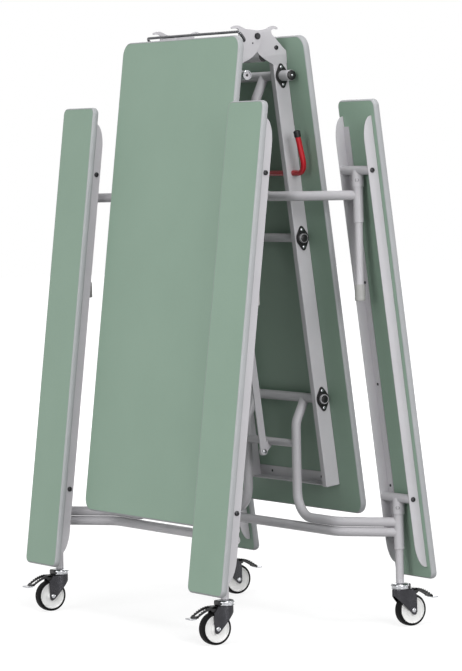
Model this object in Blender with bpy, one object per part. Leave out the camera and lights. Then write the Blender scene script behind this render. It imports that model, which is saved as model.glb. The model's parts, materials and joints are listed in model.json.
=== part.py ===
# Mobile folding table with four bench halves, modelled folded, as it stands in store.
# Metres, +Z up. +X runs along the opened table, -Y is the front. The floor is Z = 0.
# Each half is drawn in its own table frame: s runs outward from the hinge axis along the table,
# d is the height above that axis when the table lies flat.
from math import acos, atan2, cos, hypot, pi, radians, sin

import bmesh
import bpy
from mathutils import Matrix, Vector

# Fold and fit
FOLD_TILT = radians(7.03)
GAP = 0.0003
RUN_PLAY = 0.0006

# Table halves
TABLE_LENGTH = 1.512
TABLE_WIDTH = 0.740
TABLE_CORNER = 0.050
TABLE_BOARD = 0.020
TABLE_EDGE_FROM_HINGE = 0.013
TABLE_TOP_ABOVE_HINGE = 0.122

# Benches
BENCH_LENGTH = 1.494
BENCH_WIDTH = 0.209
BENCH_CORNER = 0.030
BENCH_BOARD = 0.020
BENCH_CENTRE_Y = 0.535
SEAT_ABOVE_PIVOT = 0.0414
BENCH_END_TO_CENTRE_PIVOT = 0.215
BENCH_PIVOT_HEIGHT = 0.401

# Edge strip
STRIP = 0.003
STRIP_ROUND = 0.0022

# Table rails and their cross angle
RAIL_DEPTH = 0.050
RAIL_WIDTH = 0.025
RAIL_START = 0.088
RAIL_END = 1.436
RAIL_FRONT_INSET = 0.114
RAIL_REAR_INSET = 0.1453
ANGLE_LEG = 0.036
ANGLE_WALL = 0.003

# Pivots along the table and the leg geometry below them
CENTRE_PIVOT = 0.133
PIVOT_PITCH = 0.512
LEG_OUT = 0.097
LEG_DROP = 0.2985

# Tubes of the leg frames
TUBE_R = 0.015
BRACE_R = 0.0125
TORSION_R = 0.014
TUBE_SIDES = 8
RISER_Y = 0.152
RISER_INSET = 0.036
RISER_SET = 0.078
RISER_SET_BEND = 0.070
UPPER_TUBE_DROP = 0.0760
TUBE_PITCH = 0.031
CORNER_BEND = 0.080
KINK_Y = 0.385
KINK_BEND = 0.070
BRACE_DROP = 0.145
LEG_R = 0.0155
LEG_TOP_DROP = 0.030
LEG_STEP_DROP = 0.160
SLIM_LEG_R = 0.0125
STUB_FRONT_RIGHT = 0.060
STUB_FRONT_LEFT = 0.097
STUB_REAR = 0.030

# Tee pieces under the benches
TEE_TUBE_R = 0.014
TEE_SLEEVE_R = 0.0185
TEE_SLEEVE_DROP = 0.051

# Bench rails and pivot bolts
BENCH_RAIL_DEPTH = 0.035
BENCH_RAIL_WALL = 0.003
BENCH_RAIL_FLANGE = 0.030
BENCH_RAIL_INSET = 0.022
BENCH_RAIL_INNER_SETBACK = 0.050
BENCH_RAIL_OUTER_SETBACK = 0.040
BENCH_RAIL_TAPER = 0.062
BENCH_RAIL_TIP = 0.009
BOLT_R = 0.005
BOLT_HEAD_R = 0.008
BOLT_HEAD = 0.0045
BOLT_ROUND = 0.002
PIN_ROOT = 0.012

# Feet of the centre legs
FOOT_R = 0.0165
FOOT_HEIGHT = 0.051
FOOT_SOCKET = 0.030
FOOT_ROUND = 0.0025

# Hinge
PLATE = 0.006
PLATE_WELD = 0.001
PLATE_LAP = 0.0085
PLATE_BOSS_R = 0.018
HINGE_BOLT_R = 0.006
HINGE_BOLT_HEAD_R = 0.0090
HINGE_BOLT_HEAD = 0.006
HINGE_NUT = 0.0065
HINGE_TUBE_R = 0.0175
HINGE_TUBE_S = 0.072
HINGE_TUBE_D = 0.030
HOOK_REACH_RIGHT = 0.0810
HOOK_REACH_LEFT = 0.0950

# How far a pivot tube stands out of its rail, through the bearing there
TUBE_END = 0.014

# Torsion crank and link bar
PIN_IN = 0.066
PIN_DROP = 0.177
ARM_WIDTH = 0.026
ARM_PLATE = 0.006
ARM_ROOT_R = 0.019
LUG_ROOT_R = 0.0115
LINK_WIDTH = 0.024
LINK_PLATE = 0.006
LINK_FRONT_Y = -0.003
PIN_R = 0.005
PIN_HEAD_R = 0.008
PIN_HEAD = 0.005
OPEN_PIN_PLAY = 0.0012

# Lock lever
LEVER_S = 0.439
LEVER_D = 0.0755
LEVER_R = 0.0083
LEVER_OUT = 0.073
LEVER_HANDLE = 0.1325
LEVER_LEAN = radians(6.2)
LEVER_BEND = 0.027
LEVER_END = 0.008
GRIP_R = 0.0102
GRIP_LENGTH = 0.022
GRIP_WALL_END = 0.004
GRIP_ROUND = 0.0025
GRIP_SIDES = 12

# Latch bail
BAIL_R = 0.0045
BAIL_PIVOT_S = 0.0222
BAIL_PIVOT_D = 0.0577
BAIL_ROD_S = -0.0030
BAIL_ROD_D = 0.0835
BAIL_OUT = 0.028
BAIL_BEND = 0.012

# Castors
WHEEL_R = 0.050
WHEEL_SIDES = 18
TYRE_IN_R = 0.0420
TYRE_HALF = 0.0150
TYRE_SHOULDER = 0.0045
TYRE_TREAD = 0.55
HUB_BOSS_R = 0.0120
HUB_WEB_HALF = 0.0080
HUB_RIM_HALF = 0.0135
HUB_RIM = 0.0050
TRAIL = 0.0365
HEAD_R = 0.0262
HEAD_SIDES = 12
HEAD_TOP = 0.1350
CROWN_TOP = 0.1185
CROWN_PLATE = 0.0045
CHEEK_IN = 0.0175
CHEEK = 0.0025
AXLE_R = 0.0040
AXLE_HEAD_R = 0.0075
AXLE_HEAD = 0.0045
STEM_R = 0.0055
STEM_LENGTH = 0.030
HEAD_ROUND = 0.006
NOSE_REACH = 0.0255
NOSE_FOOT = 0.104
NOSE_STEPS = 6
CROWN_BACK = 0.0345
CHEEK_BEHIND = 0.0115
CHEEK_BACK_Z = 0.075
CHEEK_BOSS_R = 0.0105
PEDAL_PIVOT_X = 0.0425
PEDAL_PIVOT_Z = 0.1060
PEDAL_PLATE = 0.0065
PEDAL_END_X = 0.112
PEDAL_END_Z = 0.0890
PEDAL_TOE = 0.0045
PEDAL_TOE_HALF = 0.0190
PEDAL_TOE_LENGTH = 0.019
PEDAL_TOE_LAP = 0.0048
PEDAL_ROOT = 0.0045
PEDAL_CREST = 0.0125
PEDAL_ARCH = 2.2
PEDAL_STEPS = 7
PEDAL_SLOT = 0.45
PEDAL_SLOT_FROM = 0.30
PEDAL_SLOT_TO = 0.80

# Colours
GREEN = (0.255, 0.356, 0.283)
STRIP_GREY = (0.490, 0.510, 0.490)
FRAME_GREY = (0.500, 0.500, 0.510)
BLACK = (0.015, 0.015, 0.016)
CHROME = (0.72, 0.72, 0.74)
ZINC = (0.42, 0.42, 0.43)
RED = (0.52, 0.050, 0.062)
HUB_GREY = (0.62, 0.62, 0.62)
FOOT_GREY = (0.34, 0.34, 0.34)

# Places that follow from the sizes above
BOARD_UNDER = TABLE_TOP_ABOVE_HINGE - TABLE_BOARD
RAIL_TOP = BOARD_UNDER - GAP
RAIL_BOTTOM = RAIL_TOP - RAIL_DEPTH
PIVOT_D = RAIL_TOP - RAIL_DEPTH / 2
TORSION_PIVOT = CENTRE_PIVOT + PIVOT_PITCH
END_PIVOT = CENTRE_PIVOT + 2 * PIVOT_PITCH
BENCH_PITCH = END_PIVOT - CENTRE_PIVOT
HINGE_HEIGHT = BENCH_PIVOT_HEIGHT + LEG_DROP + END_PIVOT * cos(FOLD_TILT) - PIVOT_D * sin(FOLD_TILT)
TABLE_TURN = pi / 2 - FOLD_TILT
PLATE_STEP = PLATE + PLATE_WELD + GAP
SIDES = {"right": 1, "left": -1}
FACES = {"front": -1, "rear": 1}


for old in list(bpy.data.objects):
    bpy.data.objects.remove(old, do_unlink=True)


def clear_radius(radius, sides=TUBE_SIDES, play=RUN_PLAY):
    # radius of a faceted hole that stays clear of a faceted shaft at any turn
    return (radius + play) / cos(pi / sides)


def half_point(side, s, d):
    # world X and Z of a point given in a table half's own frame
    x = s * sin(FOLD_TILT) + d * cos(FOLD_TILT)
    z = HINGE_HEIGHT - s * cos(FOLD_TILT) + d * sin(FOLD_TILT)
    return Vector((SIDES[side] * x, 0.0, z))


def rail_faces(side):
    # front and rear rail of one half as (low y, high y); the left pair stands outside the right pair's plates
    step = 0.0 if side == "right" else PLATE_STEP
    front = RAIL_FRONT_INSET - TABLE_WIDTH / 2 - step
    rear = TABLE_WIDTH / 2 - RAIL_REAR_INSET + step
    return (front, front + RAIL_WIDTH), (rear, rear + RAIL_WIDTH)


def plate_faces(side):
    # front and rear hinge plate of one half as (low y, high y), each welded to the front face of its rail
    front, rear = rail_faces(side)
    return (front[0] - PLATE, front[0] + PLATE_WELD), (rear[0] - PLATE, rear[0] + PLATE_WELD)


# Shapes

def prism(outline, low, high, axis="Y"):
    # closed solid from an outline in X, Z (axis Y) or in X, Y (axis Z)
    bm = bmesh.new()
    if axis == "Y":
        ring = [bm.verts.new((a, low, b)) for a, b in outline]
        move = Vector((0.0, high - low, 0.0))
    else:
        ring = [bm.verts.new((a, b, low)) for a, b in outline]
        move = Vector((0.0, 0.0, high - low))
    face = bm.faces.new(ring)
    grown = bmesh.ops.extrude_face_region(bm, geom=[face])
    moved = [item for item in grown["geom"] if isinstance(item, bmesh.types.BMVert)]
    bmesh.ops.translate(bm, vec=move, verts=moved)
    bmesh.ops.recalc_face_normals(bm, faces=bm.faces)
    return bm


def arc(centre, radius, start, end, steps):
    cx, cy = centre
    turn = (end - start) / steps
    angles = [start + turn * k for k in range(steps + 1)]
    return [(cx + radius * cos(angle), cy + radius * sin(angle)) for angle in angles]


def rounded_rectangle(low, high, radius, steps=3):
    (x0, y0), (x1, y1) = low, high
    points = arc((x1 - radius, y0 + radius), radius, -pi / 2, 0, steps)
    points += arc((x1 - radius, y1 - radius), radius, 0, pi / 2, steps)
    points += arc((x0 + radius, y1 - radius), radius, pi / 2, pi, steps)
    points += arc((x0 + radius, y0 + radius), radius, pi, 3 * pi / 2, steps)
    return points


def capsule(a, b, radius_a, radius_b, steps=6):
    # plate outline with a round end at each of two points
    lean = atan2(b[1] - a[1], b[0] - a[0])
    points = arc(a, radius_a, lean + pi / 2, lean + 3 * pi / 2, steps)
    points += arc(b, radius_b, lean - pi / 2, lean + pi / 2, steps)
    return points


def turned(profile, sides, axis, centre=(0.0, 0.0, 0.0), flat_down=False):
    # closed solid of revolution from (radius, height) points; flat_down puts a facet at the bottom
    bm = bmesh.new()
    grow = 1.0 / cos(pi / sides) if flat_down else 1.0
    ring = [bm.verts.new((radius * grow, 0.0, height)) for radius, height in profile]
    edges = [bm.edges.new(pair) for pair in zip(ring, ring[1:] + ring[:1])]
    bmesh.ops.spin(bm, geom=ring + edges, cent=(0, 0, 0), axis=(0, 0, 1), angle=2 * pi, steps=sides,
                   use_merge=True)
    bmesh.ops.remove_doubles(bm, verts=bm.verts, dist=1e-6)
    flat = [face for face in bm.faces if face.calc_area() < 1e-14]
    bmesh.ops.delete(bm, geom=flat, context="FACES")
    lone = [vert for vert in bm.verts if not vert.link_faces]
    bmesh.ops.delete(bm, geom=lone, context="VERTS")
    bmesh.ops.recalc_face_normals(bm, faces=bm.faces)
    if axis == "Y":
        turn = Matrix.Rotation(-pi / 2, 4, "X")
        if flat_down:
            turn = turn @ Matrix.Rotation(pi / 2 + pi / sides, 4, "Z")
        bmesh.ops.transform(bm, matrix=turn, verts=bm.verts)
    bmesh.ops.translate(bm, vec=Vector(centre), verts=bm.verts)
    return bm


def rod(radius, low, high, axis, centre=(0.0, 0.0, 0.0), twist=0.0):
    bm = bmesh.new()
    bmesh.ops.create_cone(bm, cap_ends=True, segments=TUBE_SIDES, radius1=radius, radius2=radius,
                          depth=high - low)
    bmesh.ops.translate(bm, vec=Vector((0.0, 0.0, (low + high) / 2)), verts=bm.verts)
    bmesh.ops.transform(bm, matrix=Matrix.Rotation(twist, 4, "Z"), verts=bm.verts)
    if axis == "Y":
        bmesh.ops.transform(bm, matrix=Matrix.Rotation(-pi / 2, 4, "X"), verts=bm.verts)
    bmesh.ops.translate(bm, vec=Vector(centre), verts=bm.verts)
    return bm


def bore(radius, low, high, axis, centre=(0.0, 0.0, 0.0), play=RUN_PLAY):
    # cutter for a shaft's hole, turned by half a facet so that the shaft's corners meet its flats
    return rod(clear_radius(radius, play=play), low, high, axis, centre, twist=pi / TUBE_SIDES)


def flip_y(bm):
    # mirror image across the middle, front to rear
    bmesh.ops.scale(bm, vec=Vector((1.0, -1.0, 1.0)), verts=bm.verts)
    bmesh.ops.reverse_faces(bm, faces=bm.faces)


def box(low, high):
    outline = [(low[0], low[2]), (high[0], low[2]), (high[0], high[2]), (low[0], high[2])]
    return prism(outline, low[1], high[1])


def bend(points, radii, steps):
    # polyline with each inner corner replaced by an arc of its own radius
    corners = [Vector(point) for point in points]
    path = [corners[0]]
    for before, here, after, radius, count in zip(corners, corners[1:], corners[2:], radii, steps):
        back = (before - here).normalized()
        ahead = (after - here).normalized()
        half = back.angle(ahead) / 2
        reach = radius * cos(half) / sin(half)
        centre = here + (back + ahead).normalized() * (radius / sin(half))
        first = here + back * reach - centre
        last = here + ahead * reach - centre
        whole = first.angle(last)
        for k in range(count + 1):
            t = k / count
            spoke = (first * sin((1 - t) * whole) + last * sin(t * whole)) / sin(whole)
            path.append(centre + spoke)
    path.append(corners[-1])
    return path


def tube(path, radius):
    # round bar along a path, with as many sides as a rod
    curve = bpy.data.curves.new("tube_path", "CURVE")
    curve.dimensions = "3D"
    curve.bevel_depth = radius
    curve.bevel_resolution = TUBE_SIDES // 2 - 2
    curve.use_fill_caps = True
    line = curve.splines.new("POLY")
    line.points.add(len(path) - 1)
    for knot, point in zip(line.points, path):
        knot.co = (point[0], point[1], point[2], 1.0)
    guide = bpy.data.objects.new("tube_guide", curve)
    bpy.context.scene.collection.objects.link(guide)
    mesh = evaluated_mesh(guide)
    bm = bmesh.new()
    bm.from_mesh(mesh)
    bpy.data.objects.remove(guide, do_unlink=True)
    bmesh.ops.remove_doubles(bm, verts=bm.verts, dist=1e-5)
    bmesh.ops.recalc_face_normals(bm, faces=bm.faces)
    return bm


def evaluated_mesh(item):
    graph = bpy.context.evaluated_depsgraph_get()
    return bpy.data.meshes.new_from_object(item.evaluated_get(graph))


def loose_object(bm, label):
    mesh = bpy.data.meshes.new(label)
    bm.to_mesh(mesh)
    item = bpy.data.objects.new(label, mesh)
    bpy.context.scene.collection.objects.link(item)
    return item


def combine(base, others, operation):
    # Boolean of one solid with several others, worked one after the other
    body = loose_object(base, "boolean_body")
    helpers = []
    for other in others:
        helper = loose_object(other, "boolean_helper")
        helper.hide_render = True
        helper.display_type = "WIRE"
        step = body.modifiers.new("step", "BOOLEAN")
        step.operation = operation
        step.object = helper
        helpers.append(helper)
    mesh = evaluated_mesh(body)
    bm = bmesh.new()
    bm.from_mesh(mesh)
    for item in helpers + [body]:
        bpy.data.objects.remove(item, do_unlink=True)
    bmesh.ops.remove_doubles(bm, verts=bm.verts, dist=2e-6)
    bmesh.ops.dissolve_degenerate(bm, dist=1e-6, edges=bm.edges)
    return bm


def fuse(base, *others):
    return combine(base, others, "UNION")


def cut(base, *others):
    return combine(base, others, "DIFFERENCE")


def add(name, bm, parent, finish, side="right", place=(0.0, 0.0, 0.0)):
    # one named object on its joint's empty; the left half's solids are mirrored copies
    colour, roughness, metallic = finish
    if SIDES[side] < 0:
        bmesh.ops.scale(bm, vec=Vector((-1.0, 1.0, 1.0)), verts=bm.verts)
        bmesh.ops.reverse_faces(bm, faces=bm.faces)
    mesh = bpy.data.meshes.new(name)
    bm.to_mesh(mesh)
    mesh.shade_smooth()
    mesh.set_sharp_from_angle(angle=radians(32))
    item = bpy.data.objects.new(name, mesh)
    bpy.context.scene.collection.objects.link(item)
    item.parent = parent
    item.location = (place[0] * SIDES[side], place[1], place[2])
    paint = bpy.data.materials.new(name)
    paint.use_nodes = True
    shader = paint.node_tree.nodes["Principled BSDF"]
    shader.inputs["Base Color"].default_value = (*colour, 1.0)
    shader.inputs["Roughness"].default_value = roughness
    shader.inputs["Metallic"].default_value = metallic
    mesh.materials.append(paint)
    return item


def axis_empty(name, where, turn=0.0, parent=None):
    empty = bpy.data.objects.new(name, None)
    bpy.context.scene.collection.objects.link(empty)
    empty.location = where
    empty.rotation_euler = (0.0, turn, 0.0)
    empty.parent = parent
    return empty


LAMINATE = (GREEN, 0.45, 0.0)
EDGE = (STRIP_GREY, 0.55, 0.0)
POWDER = (FRAME_GREY, 0.45, 0.0)
PLASTIC = (BLACK, 0.45, 0.0)
RUBBER = (BLACK, 0.75, 0.0)
PLATED = (CHROME, 0.12, 1.0)
GALVANISED = (ZINC, 0.30, 1.0)
RED_COAT = (RED, 0.40, 0.0)
HUB_PLASTIC = (HUB_GREY, 0.50, 0.0)
FOOT_PLASTIC = (FOOT_GREY, 0.60, 0.0)
DARK_BOLT = ((0.05, 0.05, 0.055), 0.35, 0.8)


# Boards and edge strips

def board(low, high, bottom, top, corner):
    inner_low = (low[0] + STRIP, low[1] + STRIP)
    inner_high = (high[0] - STRIP, high[1] - STRIP)
    return prism(rounded_rectangle(inner_low, inner_high, corner - STRIP), bottom, top, axis="Z")


def edge_strip(low, high, bottom, top, corner):
    # bullnose strip round a board, with its long edges rounded
    outer = prism(rounded_rectangle(low, high, corner), bottom, top, axis="Z")
    rim = [edge for edge in outer.edges if abs(edge.verts[0].co.z - edge.verts[1].co.z) < 1e-6]
    bmesh.ops.bevel(outer, geom=rim, offset=STRIP_ROUND, offset_type="OFFSET", segments=1, profile=0.5,
                    affect="EDGES", material=-1)
    seat_low = (low[0] + STRIP - GAP, low[1] + STRIP - GAP)
    seat_high = (high[0] - STRIP + GAP, high[1] - STRIP + GAP)
    seat_outline = rounded_rectangle(seat_low, seat_high, corner - STRIP + GAP)
    seat = prism(seat_outline, bottom - STRIP, top + STRIP, axis="Z")
    return cut(outer, seat)


# Table halves

def hinge_plate_outline(reach):
    # laser-cut plate in s, d: boss round the hinge bolt, hook for the bail, shoulder that meets the board
    boss = arc((0.0, 0.0), PLATE_BOSS_R, -pi * 0.30, -pi * 0.95, 6)
    hook_root = 0.46 * reach
    foot = RAIL_START + PLATE_LAP
    outline = [(foot, RAIL_BOTTOM + GAP), (RAIL_START + 0.004, RAIL_BOTTOM - 0.004)]
    outline += [(0.070, 0.014), (0.046, -0.007)]
    outline += boss
    outline += [(-0.0172, hook_root), (-0.0255, 0.74 * reach), (-0.0235, 0.86 * reach)]
    outline += [(-0.0180, reach), (-0.0115, reach - 0.001), (-0.0155, 0.80 * reach), (-0.0110, 0.70 * reach)]
    outline += [(-0.0020, 0.69 * reach), (0.0150, 0.0680), (0.0480, 0.0930), (0.0570, RAIL_TOP - GAP)]
    outline += [(foot, RAIL_TOP - GAP)]
    return outline


def hinge_bolt(face):
    # bolt through one pair of plates: head on the left half's plate, nut on the right half's
    index = list(FACES).index(face)
    way = FACES[face]
    left = plate_faces("left")[index]
    right = plate_faces("right")[index]
    head = (left[0] if way < 0 else -left[1]) - GAP
    nut = (right[1] if way < 0 else -right[0]) + GAP
    crown = head - HINGE_BOLT_HEAD
    profile = [(0.0, crown), (HINGE_BOLT_HEAD_R - BOLT_ROUND, crown), (HINGE_BOLT_HEAD_R, crown + BOLT_ROUND)]
    profile += [(HINGE_BOLT_HEAD_R, head), (HINGE_BOLT_R, head)]
    profile += [(HINGE_BOLT_R, nut), (HINGE_BOLT_HEAD_R, nut), (HINGE_BOLT_HEAD_R, nut + HINGE_NUT)]
    profile += [(0.0, nut + HINGE_NUT)]
    bolt = turned(profile, TUBE_SIDES, "Y")
    if way > 0:
        flip_y(bolt)
    return bolt


def hinge_cross_tube():
    # tie tube between the right half's two hinge plates
    front, rear = plate_faces("right")
    return rod(HINGE_TUBE_R, front[1] + GAP, rear[0] - GAP, "Y", (HINGE_TUBE_S, 0.0, HINGE_TUBE_D))


def table_rail(side, face):
    # box rail with its hinge plate welded on, bored for the pivot tubes
    index = list(FACES).index(face)
    low, high = rail_faces(side)[index]
    bar = box((RAIL_START, low, RAIL_BOTTOM), (RAIL_END, high, RAIL_TOP))
    reach = HOOK_REACH_RIGHT if side == "right" else HOOK_REACH_LEFT
    plate = prism(hinge_plate_outline(reach), *plate_faces(side)[index])
    y0, y1 = low - RAIL_WIDTH, high + RAIL_WIDTH
    holes = [bore(HINGE_BOLT_R, y0, y1, "Y")]
    for s, radius in ((CENTRE_PIVOT, TUBE_R), (TORSION_PIVOT, TORSION_R), (END_PIVOT, TUBE_R)):
        holes.append(bore(radius, y0, y1, "Y", (s, 0.0, PIVOT_D)))
    if side == "right":
        holes.append(bore(LEVER_R, y0, y1, "Y", (LEVER_S, 0.0, LEVER_D)))
    else:
        holes.append(bore(BAIL_R, y0, y1, "Y", (BAIL_PIVOT_S, 0.0, BAIL_PIVOT_D)))
    return cut(fuse(bar, plate), *holes)


def cross_angle(side):
    # angle between the rails' outer ends
    front, rear = rail_faces(side)
    upright = RAIL_END - ANGLE_WALL
    outline = [(RAIL_END - ANGLE_LEG, RAIL_TOP - ANGLE_WALL), (upright, RAIL_TOP - ANGLE_WALL)]
    outline += [(upright, RAIL_TOP - ANGLE_LEG), (RAIL_END, RAIL_TOP - ANGLE_LEG), (RAIL_END, RAIL_TOP)]
    outline += [(RAIL_END - ANGLE_LEG, RAIL_TOP)]
    return prism(outline, front[1] + GAP, rear[0] - GAP)


def pivot_tube_reach(side):
    front, rear = rail_faces(side)
    return front[0] - TUBE_END, rear[1] + TUBE_END


# Leg frames, drawn upright from the table pivot: x outward, z up

def leg_posts(bottom):
    # stepped leg on each side, from inside its tee sleeve down to the castor or foot
    posts = []
    for way in FACES.values():
        at = (LEG_OUT, way * BENCH_CENTRE_Y, -LEG_DROP)
        upper = rod(LEG_R, -LEG_STEP_DROP, -LEG_TOP_DROP, "Z", at)
        slim = rod(SLIM_LEG_R, bottom, -LEG_STEP_DROP + LEG_R, "Z", at)
        posts += [upper, slim]
    return posts


def riser(way):
    drop = -LEG_DROP - UPPER_TUBE_DROP
    y = way * RISER_Y
    points = [(0, y, 0), (-RISER_INSET, y, -RISER_SET), (-RISER_INSET, y, drop)]
    points += [(-RISER_INSET, way * KINK_Y, drop), (LEG_OUT, way * BENCH_CENTRE_Y, drop)]
    return tube(bend(points, (RISER_SET_BEND, CORNER_BEND, KINK_BEND), (2, 4, 3)), TUBE_R)


def lower_tube():
    drop = -LEG_DROP - UPPER_TUBE_DROP - TUBE_PITCH
    points = [(LEG_OUT, -BENCH_CENTRE_Y, drop), (-RISER_INSET, -KINK_Y, drop)]
    points += [(-RISER_INSET, KINK_Y, drop), (LEG_OUT, BENCH_CENTRE_Y, drop)]
    return tube(bend(points, (KINK_BEND, KINK_BEND), (3, 3)), TUBE_R)


def pin_stud(x, z):
    # bolt that stands in a plate and carries the link bar: shank through the bar, head in front of it
    back = LINK_FRONT_Y + LINK_PLATE + GAP + ARM_PLATE / 2
    front = LINK_FRONT_Y - GAP
    profile = [(0.0, front - PIN_HEAD), (PIN_HEAD_R, front - PIN_HEAD), (PIN_HEAD_R, front), (PIN_R, front)]
    profile += [(PIN_R, back), (0.0, back)]
    return turned(profile, TUBE_SIDES, "Y", (x, 0.0, z))


def arm_layer():
    low = LINK_FRONT_Y + LINK_PLATE + GAP
    return low, low + ARM_PLATE


def end_frame(side):
    y0, y1 = pivot_tube_reach(side)
    pivot = rod(TUBE_R, y0, y1, "Y")
    brace = rod(BRACE_R, -RISER_Y, RISER_Y, "Y", (-RISER_INSET, 0.0, -BRACE_DROP))
    lug_root = (-RISER_INSET, -BRACE_DROP)
    lug = prism(capsule(lug_root, (-PIN_IN, -PIN_DROP), LUG_ROOT_R, ARM_WIDTH / 2), *arm_layer())
    floor = -(BENCH_PIVOT_HEIGHT + LEG_DROP)
    bottom = HEAD_TOP + GAP - BENCH_PIVOT_HEIGHT
    legs = leg_posts(bottom) + bench_tee(-1) + bench_tee(1)
    frame = fuse(pivot, riser(-1), riser(1), brace, lug, pin_stud(-PIN_IN, -PIN_DROP), lower_tube(), *legs)
    mouth = floor + HEAD_TOP - GAP
    depth = floor + HEAD_TOP + STEM_LENGTH + GAP
    sockets = []
    for way in FACES.values():
        sockets.append(bore(STEM_R, mouth, depth, "Z", (LEG_OUT, way * BENCH_CENTRE_Y, 0.0)))
    return cut(frame, *sockets)


def centre_frame(side):
    front, rear = rail_faces(side)
    stub = STUB_FRONT_RIGHT if side == "right" else STUB_FRONT_LEFT
    pivot = rod(TUBE_R, front[0] - stub, rear[1] + STUB_REAR, "Y")
    bottom = -BENCH_PIVOT_HEIGHT + FOOT_HEIGHT - FOOT_SOCKET + GAP
    return fuse(pivot, riser(-1), riser(1), *leg_posts(bottom), *bench_tee(-1), *bench_tee(1))


def tee_half():
    # half the tee tube's length: it fills the space between the bench rails
    return BENCH_WIDTH / 2 - BENCH_RAIL_INSET - BENCH_RAIL_WALL - GAP


def bench_tee(way):
    # tee on a leg: cross tube between the bench rails, sleeve over the leg's top, and a headed pivot pin
    # through each bench rail
    at = Vector((LEG_OUT, way * BENCH_CENTRE_Y, -LEG_DROP))
    cross = rod(TEE_TUBE_R, -tee_half(), tee_half(), "Y", at)
    sleeve = rod(TEE_SLEEVE_R, -TEE_SLEEVE_DROP, 0.0, "Z", at)
    solids = [cross, sleeve]
    face = BENCH_WIDTH / 2 - BENCH_RAIL_INSET + GAP
    root = tee_half() - PIN_ROOT
    for end in (-1, 1):
        profile = [(0.0, root), (BOLT_R, root), (BOLT_R, face), (BOLT_HEAD_R, face)]
        profile += [(BOLT_HEAD_R, face + BOLT_HEAD), (0.0, face + BOLT_HEAD)]
        pin = turned(profile, TUBE_SIDES, "Y")
        if end < 0:
            flip_y(pin)
        bmesh.ops.translate(pin, vec=at, verts=pin.verts)
        solids.append(pin)
    return solids


def foot(way):
    # rubber cup foot over a centre leg
    at = Vector((LEG_OUT, way * BENCH_CENTRE_Y, -LEG_DROP - BENCH_PIVOT_HEIGHT))
    hole = clear_radius(SLIM_LEG_R, play=GAP)
    floor = FOOT_HEIGHT - FOOT_SOCKET
    profile = [(0.0, 0.0), (FOOT_R - FOOT_ROUND, 0.0), (FOOT_R, FOOT_ROUND)]
    profile += [(FOOT_R, FOOT_HEIGHT - FOOT_ROUND), (FOOT_R - FOOT_ROUND, FOOT_HEIGHT)]
    profile += [(hole, FOOT_HEIGHT), (hole, floor), (0.0, floor)]
    return turned(profile, TUBE_SIDES, "Z", at)


def torsion_tube(side):
    y0, y1 = pivot_tube_reach(side)
    arm = prism(capsule((0.0, 0.0), (-PIN_IN, -PIN_DROP), ARM_ROOT_R, ARM_WIDTH / 2), *arm_layer())
    return fuse(rod(TORSION_R, y0, y1, "Y"), arm, pin_stud(-PIN_IN, -PIN_DROP))


def link_bar():
    # flat bar from the end frame's lug to the torsion crank, drawn along the table
    low, high = LINK_FRONT_Y, LINK_FRONT_Y + LINK_PLATE
    bar = prism(capsule((-PIVOT_PITCH, 0.0), (0.0, 0.0), LINK_WIDTH / 2, LINK_WIDTH / 2), low, high)
    y0, y1 = low - LINK_PLATE, high + LINK_PLATE
    seat = bore(PIN_R, y0, y1, "Y")
    far = bore(PIN_R, y0, y1, "Y", (-PIVOT_PITCH, 0.0, 0.0), OPEN_PIN_PLAY)
    return cut(bar, seat, far)


# Benches, drawn from the end pivot: x outward along the bench, z up from the pivot

def bench_span():
    inner = -(BENCH_END_TO_CENTRE_PIVOT + BENCH_PITCH)
    return inner, inner + BENCH_LENGTH


def bench_corners():
    inner, outer = bench_span()
    return (inner, -BENCH_WIDTH / 2), (outer, BENCH_WIDTH / 2)


def bench_rail(way):
    # angle with boat-shaped ends: upright web on the outside, flange under the board
    inner, outer = bench_span()
    start = inner + BENCH_RAIL_INNER_SETBACK
    end = outer - BENCH_RAIL_OUTER_SETBACK
    top = SEAT_ABOVE_PIVOT - BENCH_BOARD - GAP
    bottom = top - BENCH_RAIL_DEPTH
    rise = BENCH_RAIL_DEPTH - BENCH_RAIL_TIP
    outline = [(end, top), (start, top)]
    for k in range(6):
        turn = pi / 2 * k / 5
        outline.append((start + BENCH_RAIL_TAPER * (1 - cos(turn)), top - BENCH_RAIL_TIP - rise * sin(turn)))
    for k in range(6):
        turn = pi / 2 * (1 - k / 5)
        outline.append((end - BENCH_RAIL_TAPER * (1 - cos(turn)), top - BENCH_RAIL_TIP - rise * sin(turn)))
    face = way * (BENCH_WIDTH / 2 - BENCH_RAIL_INSET)
    back = face - way * BENCH_RAIL_WALL
    web = prism(outline, *sorted((face, back)))
    edge = face - way * BENCH_RAIL_FLANGE
    low, high = sorted((face - way * BENCH_RAIL_WALL / 2, edge))
    flange_outline = rounded_rectangle((start, low), (end, high), BENCH_RAIL_WALL, 2)
    flange = prism(flange_outline, top - BENCH_RAIL_WALL, top, axis="Z")
    holes = []
    for x in (0.0, -BENCH_PITCH):
        holes.append(bore(BOLT_R, -BENCH_WIDTH, BENCH_WIDTH, "Y", (x, 0.0, 0.0)))
    return cut(fuse(web, flange), *holes)


# Lock lever, drawn from its own axis in the right half's frame

def lever_front():
    return rail_faces("right")[0][0] - LEVER_OUT


def handle_point(reach):
    # point on the handle's line, which leans inward from the direction of the table
    return Vector((-reach * cos(LEVER_LEAN), lever_front(), -reach * sin(LEVER_LEAN)))


def lock_lever():
    rear = rail_faces("right")[1][1] + LEVER_END
    points = [(0, rear, 0), handle_point(0), handle_point(LEVER_HANDLE)]
    return tube(bend(points, (LEVER_BEND,), (5,)), LEVER_R)


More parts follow.
